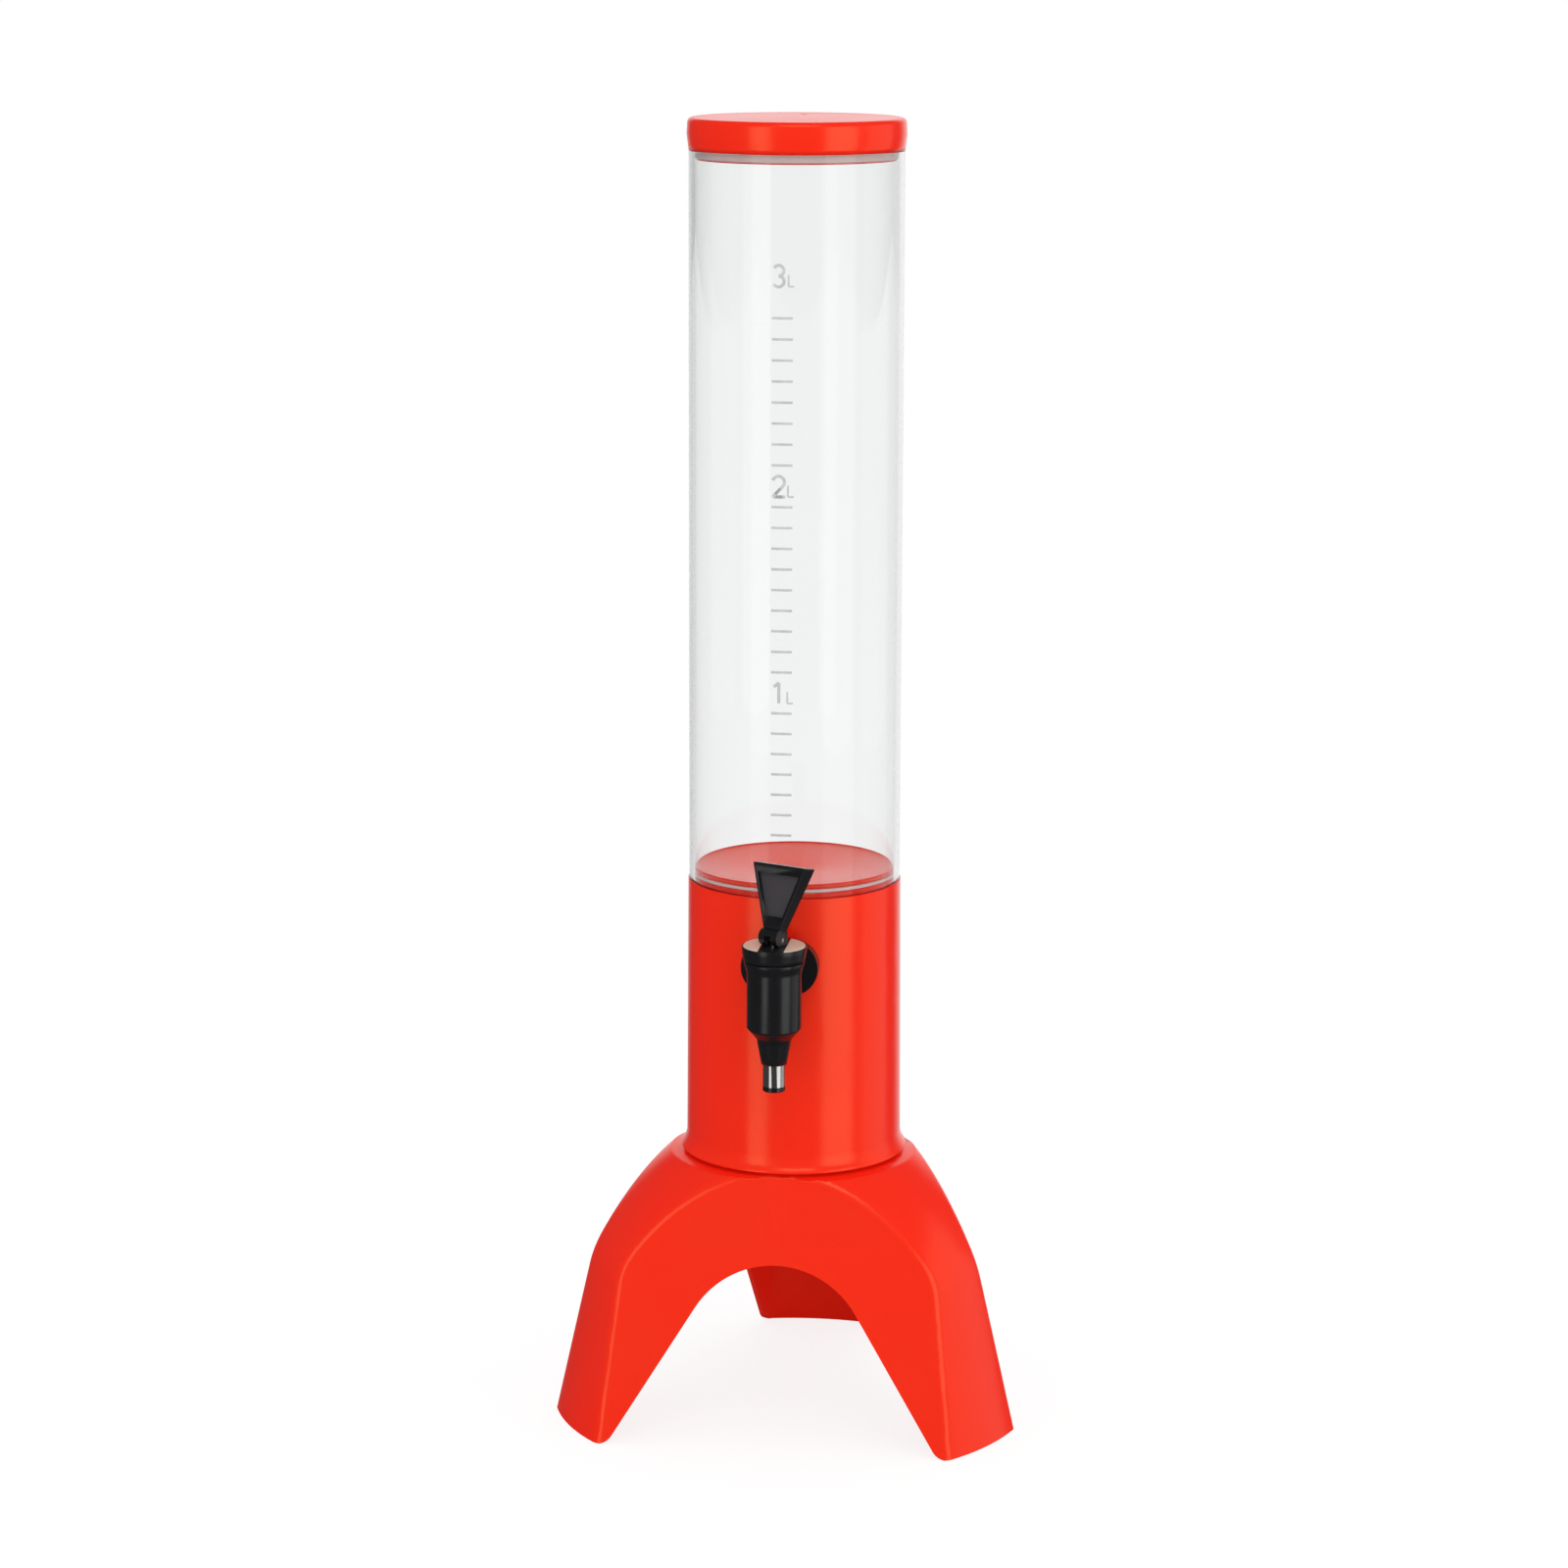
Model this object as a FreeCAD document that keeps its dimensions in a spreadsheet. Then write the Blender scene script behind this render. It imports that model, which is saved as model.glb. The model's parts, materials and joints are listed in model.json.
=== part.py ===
# Tabletop drink tower: a clear tube on a red column, with a lever tap in front and a three-legged base.
# The origin is on the floor, on the column's axis. The tap faces -Y and one leg points to +Y.
import FreeCAD, Part
import math
import os
import Sketcher
from FreeCAD import Placement, Rotation, Vector

doc = FreeCAD.newDocument("DrinkTower")

# Driving dimensions in millimetres and degrees, one row each: alias, value, what it is
DIMENSIONS = [
    ("footReach", 131.7, "radius of the legs' outer faces at the floor"),
    ("legLean", 11.9, "lean of a leg's straight part, degrees"),
    ("kneeHeight", 84.0, "height where a leg's straight part ends"),
    ("shoulderRadius", 48.0, "first bend above the straight part"),
    ("crownRadius", 180.0, "second bend, up to the crown"),
    ("crownReach", 66.5, "radius of the base's crown"),
    ("crownHeight", 143.5, "flat crown of the base"),
    ("panelTopReach", 62.8, "axis to an arch panel at the crown"),
    ("panelFootReach", 91.2, "axis to an arch panel at the floor"),
    ("baseWall", 3.0, "wall of the base"),
    ("ridgeRadius", 7.2, "round between a leg's face and an arch panel"),
    ("archRadius", 51.0, "round top of each arch"),
    ("archCentreHeight", 46.8, "centre of the arch's round top"),
    ("archSplay", 32.0, "splay of the arch's straight sides, degrees"),
    ("footRound", 10.0, "round where an arch's side meets the floor"),
    ("deckThickness", 3.5, "deck that the column stands on"),
    ("deckRadius", 59.6, "round deck under the column"),
    ("deckHoleRadius", 36.0, "hole in the deck"),
    ("ringHeight", 6.0, "locating ring inside the column's foot"),
    ("ringWall", 2.4, "wall of the locating ring"),
    ("columnSeat", 2.0, "underside of the column above the base's crown"),
    ("columnTopHeight", 295.5, "shoulder that carries the tube"),
    ("columnTopRadius", 57.5, "column's radius at the shoulder"),
    ("columnLowRadius", 58.3, "column's radius above the flare"),
    ("columnWall", 2.6, "wall of the column"),
    ("flareRadius", 61.3, "radius of the column's flared foot"),
    ("flareHeight", 9.5, "height of the flare"),
    ("flareLip", 1.0, "upright lip under the flare"),
    ("spigotHeight", 7.5, "spigot above the shoulder"),
    ("spigotWall", 4.4, "wall of the spigot"),
    ("funnelDepth", 4.6, "fall of the funnel floor to its drain"),
    ("funnelWall", 2.8, "thickness of the funnel floor"),
    ("drainBore", 4.0, "bore radius of the drain and of the tap's tail"),
    ("barbRadius", 5.2, "root radius of the hose barbs"),
    ("barbRise", 0.4, "height of a hose barb"),
    ("barbPitch", 2.0, "length of a hose barb"),
    ("drainLength", 10.0, "length of the drain spigot"),
    ("tubeRadius", 57.0, "outer radius of the tube"),
    ("tubeWall", 3.0, "wall of the tube"),
    ("tubeTopHeight", 686.5, "rim of the tube"),
    ("tubeSealSection", 1.0, "section radius of the tube's O-ring"),
    ("lidHeight", 16.7, "lid above the tube's rim"),
    ("lidBelly", 58.0, "largest radius of the lid"),
    ("lidTopWall", 2.6, "top of the lid"),
    ("lidSideWall", 2.5, "side of the lid"),
    ("lidEdgeRound", 2.8, "round of the lid's top edge"),
    ("lidPlugDepth", 5.0, "plug below the tube's rim"),
    ("lidPlugRadius", 51.4, "outer radius of the plug"),
    ("lidPlugWall", 2.0, "wall of the plug"),
    ("ventRadius", 2.0, "air hole in the lid"),
    ("ventOffset", 30.0, "air hole from the axis"),
    ("tapReach", 82.0, "column's axis to the tap's upright axis"),
    ("shankDrop", 36.0, "tap's shank below the shoulder that carries the tube"),
    ("shankRadius", 8.0, "thread of the shank, drawn plain"),
    ("neckRadius", 9.0, "neck between barrel and saddle"),
    ("saddleRadius", 15.0, "round ends of the collar on the column"),
    ("saddleSpread", 5.6, "centre of each round end beside the shank"),
    ("saddleFront", 62.5, "front face of the collar from the column's axis"),
    ("innerSaddleRadius", 15.0, "block inside the column"),
    ("innerSaddleFace", 50.0, "flat face of the inner block from the axis"),
    ("nutAcross", 25.0, "shank nut across flats"),
    ("nutThickness", 6.0, "thickness of the shank nut"),
    ("tailEnd", 26.0, "end of the hose tail from the column's axis"),
    ("barrelRadius", 14.5, "tap barrel"),
    ("barrelTopRadius", 16.2, "barrel under the bonnet"),
    ("barrelTaperTop", 9.2, "top of the barrel above the shank"),
    ("barrelTaperFoot", 2.5, "where the barrel starts to widen, above the shank"),
    ("barrelFoot", 27.0, "lower end of the barrel, below the shank"),
    ("coneTop", 33.1, "top of the spout's cone, below the shank"),
    ("coneTopRadius", 9.3, "spout at the cone's top"),
    ("coneFoot", 46.8, "foot of the cone, below the shank"),
    ("coneFootRadius", 6.8, "spout at the cone's foot"),
    ("spoutEnd", 61.5, "end of the spout, below the shank"),
    ("spoutRadius", 4.9, "spout inside its sleeve"),
    ("spoutBore", 3.8, "bore of the spout"),
    ("sleeveRadius", 6.0, "bright sleeve"),
    ("tipHeight", 2.6, "black ring under the sleeve"),
    ("chamberRadius", 10.0, "valve chamber"),
    ("chamberFoot", 23.5, "foot of the chamber's straight part, below the shank"),
    ("seatDepth", 28.0, "valve seat below the shank"),
    ("seatRadius", 6.9, "flat of the valve seat"),
    ("threadRadius", 13.0, "thread between barrel and bonnet, drawn plain"),
    ("threadTop", 12.8, "top of the barrel's thread above the shank"),
    ("bonnetTop", 17.1, "rim of the bonnet above the shank"),
    ("plateRecess", 1.0, "recess in the bonnet for the cam plate"),
    ("bonnetRadius", 17.2, "bonnet at its top"),
    ("bonnetFootRadius", 16.4, "bonnet at its foot"),
    ("bonnetCeiling", 13.8, "ceiling inside the bonnet above the shank"),
    ("guideRadius", 6.4, "guide boss inside the bonnet"),
    ("guideFoot", 6.5, "foot of the guide boss above the shank"),
    ("stemRadius", 2.5, "valve stem"),
    ("stemSealSection", 0.9, "section radius of the stem's O-ring"),
    ("stemSealHeight", 9.6, "stem's O-ring above the shank"),
    ("camPlateRadius", 16.4, "plate on the bonnet"),
    ("camBarWidth", 13.6, "black bar that parts the plate, across"),
    ("camPlateThickness", 1.4, "thickness of that plate"),
    ("plugRadius", 6.5, "silicone plug"),
    ("plugHeight", 7.3, "height of the plug"),
    ("plugFloor", 1.6, "silicone under the stem's head"),
    ("headRadius", 3.8, "stem's head inside the plug"),
    ("headHeight", 2.5, "height of the stem's head"),
    ("collarRadius", 8.0, "spring collar"),
    ("collarThickness", 1.5, "thickness of the spring collar"),
    ("springRadius", 5.0, "mean radius of the spring"),
    ("springWire", 0.6, "radius of the spring's wire"),
    ("springTurns", 7.0, "turns of the spring"),
    ("camRadius", 4.6, "cam heel of the handle"),
    ("camThrow", 3.0, "cam's centre from the pin"),
    ("camAngle", 30.0, "cam's centre above the forward direction, degrees"),
    ("pinRadius", 1.25, "handle pin"),
    ("hubWidth", 11.0, "handle's hub across"),
    ("tongueWidth", 4.0, "flat of the stem between the handle's ears"),
    ("handleHeight", 39.0, "top of the handle above the pin"),
    ("handleTopWidth", 33.0, "handle across at its top"),
    ("handleNeckWidth", 10.4, "handle across at its neck"),
    ("handleNeckHeight", 4.5, "neck of the handle above the pin"),
    ("handleThickness", 9.6, "handle front to back at its top"),
    ("handleNeckThickness", 6.6, "handle front to back at its neck"),
    ("handleFront", 3.6, "front face of the handle ahead of the pin"),
    ("handleLean", 12.0, "handle leans back at rest, degrees"),
    ("handleTurn", -25.0, "handle turned about the tap's axis at rest, degrees"),
    ("handleBorder", 2.2, "side border of the handle's recess"),
    ("handleTopBorder", 5.0, "top border of the recess"),
    ("handleFootBorder", 7.0, "foot border of the recess above the neck"),
    ("recessDepth", 3.0, "recess in the handle's face"),
    ("inlayThickness", 1.0, "blank panel in the recess"),
    ("hoseBend", 24.0, "bend radius of the hose"),
    ("hoseWall", 2.0, "wall of the hose"),
    ("clampWidth", 6.0, "width of a hose clamp"),
    ("clampBand", 0.8, "thickness of its band"),
    ("clampHousing", 4.8, "screw housing of a clamp, to each side and outwards"),
    ("screwCircle", 46.5, "base screws from the axis"),
    ("screwRadius", 1.9, "shank of a base screw"),
    ("screwHeadRadius", 3.6, "head of a base screw"),
    ("screwHeadHeight", 2.4, "height of the head"),
    ("driveReach", 2.3, "arm of the cross in a screw's head"),
    ("driveWidth", 1.2, "width of that arm"),
    ("screwLength", 14.0, "base screw under its head"),
    ("bossRadius", 4.6, "boss for a base screw"),
    ("bossHeight", 18.0, "height of a boss above the column's underside"),
    ("edgeBreak", 0.6, "small broken edges"),
    ("fitGap", 0.1, "clearance of fixed fits"),
    ("runGap", 0.06, "radial clearance of turning and sliding fits"),
    ("softGap", 0.3, "clearance round soft pieces that move"),
]

sheet = doc.addObject("Spreadsheet::Sheet", "Sizes")
for row, (alias, value, note) in enumerate(DIMENSIONS, start=1):
    sheet.set(f"A{row}", note)
    sheet.set(f"B{row}", str(value))
    sheet.setAlias(f"B{row}", alias)
doc.recompute()


class Size:
    """A length or angle that knows its value and the formula that binds it to the sheet."""

    def __init__(self, value, text):
        self.value = float(value)
        self.text = text

    @staticmethod
    def of(other):
        return other if isinstance(other, Size) else Size(other, repr(float(other)))

    def joined(self, other, sign, value):
        return Size(value, f"({self.text} {sign} {Size.of(other).text})")

    def __add__(self, other):
        return self.joined(other, "+", self.value + Size.of(other).value)

    def __sub__(self, other):
        return self.joined(other, "-", self.value - Size.of(other).value)

    def __mul__(self, other):
        return self.joined(other, "*", self.value * Size.of(other).value)

    def __truediv__(self, other):
        return self.joined(other, "/", self.value / Size.of(other).value)

    def __neg__(self):
        return Size(-self.value, f"(-1 * {self.text})")

    def sin(self):
        return Size(math.sin(math.radians(self.value)), f"sin({self.text} * 1 deg)")

    def cos(self):
        return Size(math.cos(math.radians(self.value)), f"cos({self.text} * 1 deg)")

    def tan(self):
        return Size(math.tan(math.radians(self.value)), f"tan({self.text} * 1 deg)")

    def root(self):
        return Size(math.sqrt(self.value), f"sqrt({self.text})")


ZERO = Size(0, "0.0")
size = {alias: Size(value, f"Sizes.{alias}") for alias, value, note in DIMENSIONS}


def new_body(label):
    """An empty body with its own label, which also names its file."""
    body = doc.addObject("PartDesign::Body", "Body_" + label)
    body.Label = label
    return body


def new_sketch(body, role, offset=None):
    """A sketch on one of the body's own origin planes, moved along the plane's normal."""
    sketch = body.newObject("Sketcher::SketchObject", "Sketch")
    plane = [feature for feature in body.Origin.OriginFeatures if feature.Role == role][0]
    sketch.AttachmentSupport = [(plane, "")]
    sketch.MapMode = "FlatFace"
    if offset is not None:
        sketch.AttachmentOffset = Placement(Vector(0, 0, offset.value), Rotation())
        sketch.setExpression("AttachmentOffset.Base.z", offset.text)
    return sketch


def hold_point(sketch, geometry, end, spot):
    """Hold one point of the sketch at a spot given by two sizes."""
    for kind, place in zip(("DistanceX", "DistanceY"), spot):
        place = Size.of(place)
        index = sketch.addConstraint(Sketcher.Constraint(kind, -1, 1, geometry, end, place.value))
        sketch.setExpression(f"Constraints[{index}]", place.text)


def spot_of(place):
    """The plain vector of a place given by two sizes."""
    return Vector(Size.of(place[0]).value, Size.of(place[1]).value, 0)


def angle_about(centre, spot):
    """Angle of a spot seen from a centre, from 0 to a full turn."""
    return math.atan2(spot.y - centre.y, spot.x - centre.x) % math.tau


def polygon(sketch, corners, closed=True):
    """An outline through corners given by sizes, closed unless told otherwise.

    A corner is (x, y), or (x, y, centre, radius) where an arc about that centre leads to the next corner.
    """
    first = sketch.GeometryCount
    count = len(corners)
    pieces = count if closed else count - 1
    ends = []
    for index, corner in enumerate(corners[:pieces]):
        here = spot_of(corner)
        there = spot_of(corners[(index + 1) % count])
        if len(corner) == 2:
            sketch.addGeometry(Part.LineSegment(here, there), False)
            ends.append((1, 2))
            continue
        centre = spot_of(corner[2])
        ring = Part.Circle(centre, Vector(0, 0, 1), Size.of(corner[3]).value)
        start = angle_about(centre, here)
        finish = angle_about(centre, there)
        leftward = (finish - start) % math.tau <= math.pi
        if leftward:
            sketch.addGeometry(Part.ArcOfCircle(ring, start, finish), False)
            ends.append((1, 2))
        else:
            sketch.addGeometry(Part.ArcOfCircle(ring, finish, start), False)
            ends.append((2, 1))
    for index in range(pieces if closed else pieces - 1):
        following = (index + 1) % count
        pair = (first + index, ends[index][1], first + following, ends[following][0])
        sketch.addConstraint(Sketcher.Constraint("Coincident", *pair))
    if not closed:
        hold_point(sketch, first + pieces - 1, ends[-1][1], corners[-1])
    for index, corner in enumerate(corners[:pieces]):
        hold_point(sketch, first + index, ends[index][0], corner[:2])
        if len(corner) > 2:
            radius = Size.of(corner[3])
            held = sketch.addConstraint(Sketcher.Constraint("Radius", first + index, radius.value))
            sketch.setExpression(f"Constraints[{held}]", radius.text)
    return sketch


def circle(sketch, x, y, radius):
    """A circle whose centre and radius are sizes."""
    radius = Size.of(radius)
    centre = Vector(Size.of(x).value, Size.of(y).value, 0)
    geometry = sketch.addGeometry(Part.Circle(centre, Vector(0, 0, 1), radius.value), False)
    hold_point(sketch, geometry, 3, (x, y))
    index = sketch.addConstraint(Sketcher.Constraint("Radius", geometry, radius.value))
    sketch.setExpression(f"Constraints[{index}]", radius.text)
    return sketch


def set_length(feature, length, midplane=False, reverse=False):
    feature.Length = length.value
    feature.setExpression("Length", length.text)
    feature.Midplane = midplane
    feature.Reversed = reverse
    return feature


def pad(body, sketch, length, midplane=False, reverse=False):
    feature = body.newObject("PartDesign::Pad", "Pad")
    feature.Profile = sketch
    return set_length(feature, length, midplane, reverse)


def pocket(body, sketch, length, midplane=False, reverse=False):
    feature = body.newObject("PartDesign::Pocket", "Pocket")
    feature.Profile = sketch
    return set_length(feature, length, midplane, reverse)


def revolve(body, sketch, axis="V_Axis"):
    feature = body.newObject("PartDesign::Revolution", "Revolution")
    feature.Profile = sketch
    feature.ReferenceAxis = (sketch, [axis])
    feature.Angle = 360
    return feature


def groove(body, sketch, axis="V_Axis"):
    feature = body.newObject("PartDesign::Groove", "Groove")
    feature.Profile = sketch
    feature.ReferenceAxis = (sketch, [axis])
    feature.Angle = 360
    return feature


def polar(body, features, count):
    """Repeat features about the body's upright axis."""
    pattern = body.newObject("PartDesign::PolarPattern", "Polar")
    pattern.Originals = features
    upright = [feature for feature in body.Origin.OriginFeatures if feature.Role == "Z_Axis"][0]
    pattern.Axis = (upright, [""])
    pattern.Angle = 360
    pattern.Occurrences = count
    body.Tip = pattern
    return pattern


def edges_of(feature, wanted):
    """Names of the feature's edges that the test picks."""
    doc.recompute()
    edges = feature.Shape.Edges
    return [f"Edge{index}" for index, edge in enumerate(edges, start=1) if wanted(edge)]


def round_edges(body, feature, wanted, radius):
    """Fillet the edges that the test picks."""
    names = edges_of(feature, wanted)
    rounding = body.newObject("PartDesign::Fillet", "Fillet")
    rounding.Base = (feature, names)
    rounding.Radius = radius.value
    rounding.setExpression("Radius", radius.text)
    body.Tip = rounding
    return rounding


def stand(body, x, y, height):
    """Move a body from its own origin to its place."""
    for name, place in zip("xyz", (x, y, height)):
        body.setExpression(f"Placement.Base.{name}", Size.of(place).text)
    return body


def turned_body(label, points):
    """A body turned about the upright axis from an outline of radius and height."""
    body = new_body(label)
    revolve(body, polygon(new_sketch(body, "XZ_Plane"), points))
    return body


# Sizes that several pieces share, worked out once from the driving dimensions
fit = size["fitGap"]
run = size["runGap"]
soft = size["softGap"]
edge = size["edgeBreak"]
far = size["footReach"] * 2
column_foot = size["crownHeight"] + size["columnSeat"]
column_top = size["columnTopHeight"]
tube_bore = size["tubeRadius"] - size["tubeWall"]
tube_top = size["tubeTopHeight"]
shank = column_top - size["shankDrop"]
reach = size["tapReach"]
draft_foot = column_foot + size["flareHeight"]
spigot_radius = tube_bore - fit * 2
spigot_top = column_top + size["spigotHeight"]
spigot_inner = spigot_radius - size["spigotWall"]
funnel_rim = spigot_top - edge
funnel_foot = funnel_rim - size["funnelDepth"]
drain_mouth = size["drainBore"] + size["funnelWall"] * 2
drain_top = funnel_foot - size["funnelWall"] / 2
floor_under = funnel_foot - size["funnelWall"]
drain_end = floor_under - size["drainLength"]
plate_foot = size["bonnetTop"] - size["plateRecess"]
plate_top = plate_foot + size["camPlateThickness"]
pin_height = plate_top + size["camRadius"] - size["camThrow"] * size["camAngle"].sin()
stem_bore = size["stemRadius"] + run
seat = -size["seatDepth"]
plug_foot = seat + soft
plug_top = plug_foot + size["plugHeight"]
collar_top = plug_top + size["collarThickness"]
hose_bore = size["barbRadius"] + size["barbRise"] + fit
hose_outer = hose_bore + size["hoseWall"]


def column_radius(height):
    """Outer radius of the column's drafted side at a height."""
    share = (height - draft_foot) / (column_top - draft_foot)
    return size["columnLowRadius"] + (size["columnTopRadius"] - size["columnLowRadius"]) * share


# Three-legged base: a turned bell with three slanted panels cut into it, which leaves the legs between them
def leg_corners(inset, top):
    """Outer face of a leg in section, from the floor to a height, moved inward by an inset.

    The second bend touches the first and ends at the crown's edge. Its centre is the corner of a triangle
    whose other corners are the first centre and the crown's edge, and whose three sides are known.
    """
    lean = size["legLean"]
    bend = size["shoulderRadius"]
    crown = size["crownRadius"]
    knee_reach = size["footReach"] - size["kneeHeight"] * lean.tan()
    first_centre = (knee_reach - bend * lean.cos(), size["kneeHeight"] - bend * lean.sin())
    across = size["crownReach"] - first_centre[0]
    up = size["crownHeight"] - first_centre[1]
    span = (across * across + up * up).root()
    gap = crown - bend
    along = (gap * gap + span * span - crown * crown) / (gap * span * 2)
    aside = (-(along * along) + 1).root()
    out = (aside * up - along * across) / span
    rise = -(along * up + aside * across) / span
    second_centre = (first_centre[0] - gap * out, first_centre[1] - gap * rise)
    first_radius = bend - inset
    second_radius = crown - inset
    climb = top - second_centre[1]
    return [
        (size["footReach"] - inset / lean.cos(), ZERO),
        (first_centre[0] + first_radius * lean.cos(), first_centre[1] + first_radius * lean.sin(),
         first_centre, first_radius),
        (first_centre[0] + first_radius * out, first_centre[1] + first_radius * rise,
         second_centre, second_radius),
        (second_centre[0] + (second_radius * second_radius - climb * climb).root(), top),
    ]


def panel_reach(inset, height):
    """Distance of an arch panel from the axis at a height, moved inward by an inset."""
    slope = (size["panelFootReach"] - size["panelTopReach"]) / size["crownHeight"]
    across = inset * (slope * slope + 1).root()
    return size["panelFootReach"] - slope * height - across


def tripod_body(label, inset, top):
    """A solid tripod of full size, or one moved inward by an inset to hollow it."""
    body = turned_body(label, [(ZERO, ZERO)] + leg_corners(inset, top) + [(ZERO, top)])
    beside = [(-panel_reach(inset, ZERO), ZERO), (-panel_reach(inset, top), top),
              (-far * 2, top), (-far * 2, ZERO)]
    panel_cut = pocket(body, polygon(new_sketch(body, "YZ_Plane"), beside), far * 4, midplane=True)
    pattern = polar(body, [panel_cut], 3)

    def ridge(side):
        """Whether an edge climbs and is none of the bell's own seams."""
        return side.BoundBox.ZLength > size["baseWall"].value and side.BoundBox.YLength > fit.value

    round_edges(body, pattern, ridge, size["ridgeRadius"] - inset)
    return body


def base_screw_spots(radius, offset, depth, label):
    """Three upright cylinders on the screw circle, one behind and two in front."""
    body = new_body(label)
    body.AllowCompound = True
    sketch = circle(new_sketch(body, "XY_Plane", offset), ZERO, size["screwCircle"], radius)
    polar(body, [pad(body, sketch, depth)], 3)
    return body


def cut(label, whole, tool):
    """One object less another."""
    result = doc.addObject("Part::Cut", "Cut_" + label)
    result.Base = whole
    result.Tool = tool
    result.Label = label
    return result


def build_base():
    """The red base: a thin tripod shell with a deck, a locating ring, three arches and three screw holes."""
    deck_under = column_foot - size["deckThickness"]
    outer = tripod_body("base_outer", ZERO, size["crownHeight"])
    shell = cut("base_shell", outer, tripod_body("base_core", size["baseWall"], deck_under))
    ring_outer = size["columnLowRadius"] - size["columnWall"] - fit
    ring_inner = ring_outer - size["ringWall"]
    ring_top = column_foot + size["ringHeight"]
    deck_low = size["crownHeight"] - size["deckThickness"]
    neck = turned_body("base_neck", [
        (size["deckHoleRadius"], deck_under), (ring_inner - edge, deck_under), (ring_inner, deck_low),
        (size["deckRadius"], deck_low), (size["deckRadius"], column_foot), (ring_outer, column_foot),
        (ring_outer, ring_top - edge), (ring_outer - edge, ring_top), (ring_inner, ring_top),
        (ring_inner, column_foot), (size["deckHoleRadius"], column_foot),
    ])
    whole = doc.addObject("Part::MultiFuse", "Fuse_base")
    whole.Shapes = [shell, neck]
    openings = new_body("base_openings")
    centre = (ZERO, size["archCentreHeight"])
    splay = size["archSplay"]
    side = size["archRadius"] * splay.cos()
    rise = size["archCentreHeight"] + size["archRadius"] * splay.sin()
    spread = side + rise * splay.tan()
    apex = size["archCentreHeight"] + size["archRadius"]
    heel = size["footRound"]
    heel_height = heel - edge / 3
    heel_reach = spread + (heel - heel_height * splay.sin()) / splay.cos()
    toe = heel_reach - (heel * heel - heel_height * heel_height).root()
    touch = (heel_reach - heel * splay.cos(), heel_height - heel * splay.sin())
    arch = polygon(new_sketch(openings, "XZ_Plane"), [
        (-toe, ZERO), (toe, ZERO, (heel_reach, heel_height), heel), touch,
        (side, rise, centre, size["archRadius"]), (ZERO, apex, centre, size["archRadius"]), (-side, rise),
        (-touch[0], touch[1], (-heel_reach, heel_height), heel),
    ])
    tunnel = pad(openings, arch, far)
    well = circle(new_sketch(openings, "XY_Plane"), ZERO, ZERO, size["deckHoleRadius"])
    pad(openings, well, ring_top)
    polar(openings, [tunnel], 3)
    opened = cut("base_opened", whole, openings)
    holes = base_screw_spots(size["screwRadius"] + fit, ZERO, ring_top, "base_holes")
    return cut("tripod_base", opened, holes)


def build_column():
    """The red column: flared foot, funnel floor with its drain, spigot for the tube, three screw bosses."""
    wall = size["columnWall"]
    foot_inner = size["columnLowRadius"] - wall
    seal_bottom = tube_bore - fit / 2 - size["tubeSealSection"] * 2
    groove_foot = column_top + wall
    groove_top = groove_foot + size["tubeSealSection"] * 2 + fit * 4
    ceiling = column_top - wall
    barb = size["barbRadius"] + size["barbRise"]
    lip_top = column_foot + size["flareLip"]
    flare_out = size["flareRadius"] - size["columnLowRadius"]
    flare_up = draft_foot - lip_top
    flare_bend = (flare_out * flare_out + flare_up * flare_up) / (flare_out * 2)
    flare_centre = (size["columnLowRadius"] + flare_bend, draft_foot)
    body = turned_body("column", [
        (foot_inner, column_foot),
        (size["flareRadius"] - edge / 2, column_foot),
        (size["flareRadius"], column_foot + edge / 2),
        (size["flareRadius"], lip_top, flare_centre, flare_bend),
        (size["columnLowRadius"], draft_foot),
        (size["columnTopRadius"], column_top - edge / 2),
        (size["columnTopRadius"] - edge / 2, column_top),
        (spigot_radius, column_top),
        (spigot_radius, groove_foot), (seal_bottom, groove_foot),
        (seal_bottom, groove_top), (spigot_radius, groove_top),
        (spigot_radius, spigot_top - edge), (spigot_radius - edge, spigot_top),
        (seal_bottom + edge, spigot_top), (seal_bottom, funnel_rim),
        (drain_mouth, funnel_foot), (size["drainBore"], drain_top),
        (size["drainBore"], drain_end),
        (size["barbRadius"] - edge / 2, drain_end),
        (barb, drain_end + size["barbPitch"] - size["barbRise"]),
        (size["barbRadius"], drain_end + size["barbPitch"]),
        (size["barbRadius"], floor_under),
        (drain_mouth, floor_under), (spigot_inner, funnel_rim - size["funnelWall"]),
        (spigot_inner, ceiling), (size["columnTopRadius"] - wall, ceiling),
        (foot_inner, draft_foot),
    ])
    boss_top = size["bossHeight"]
    ring_top = size["ringHeight"] + edge
    plan = circle(new_sketch(body, "XY_Plane", column_foot), ZERO, size["screwCircle"], size["bossRadius"])
    boss = pad(body, plan, boss_top)
    web_side = size["columnWall"] / 2
    web_plan = polygon(new_sketch(body, "XY_Plane", column_foot + ring_top), [
        (-web_side, size["screwCircle"]), (web_side, size["screwCircle"]),
        (web_side, foot_inner + edge), (-web_side, foot_inner + edge),
    ])
    web = pad(body, web_plan, boss_top - ring_top)
    polar(body, [boss, web], 3)
    pilot = circle(new_sketch(body, "XY_Plane", column_foot), ZERO, size["screwCircle"],
                   size["screwRadius"] - fit * 3)
    polar(body, [pocket(body, pilot, boss_top - edge * 2, reverse=True)], 3)
    port = circle(new_sketch(body, "XZ_Plane"), ZERO, shank, size["shankRadius"] + fit * 2)
    pocket(body, port, size["flareRadius"], reverse=True)
    return body


def build_tube():
    """The clear tube, open at both ends."""
    return turned_body("clear_tube", [
        (tube_bore, column_top), (size["tubeRadius"], column_top),
        (size["tubeRadius"], tube_top), (tube_bore, tube_top),
    ])


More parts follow.
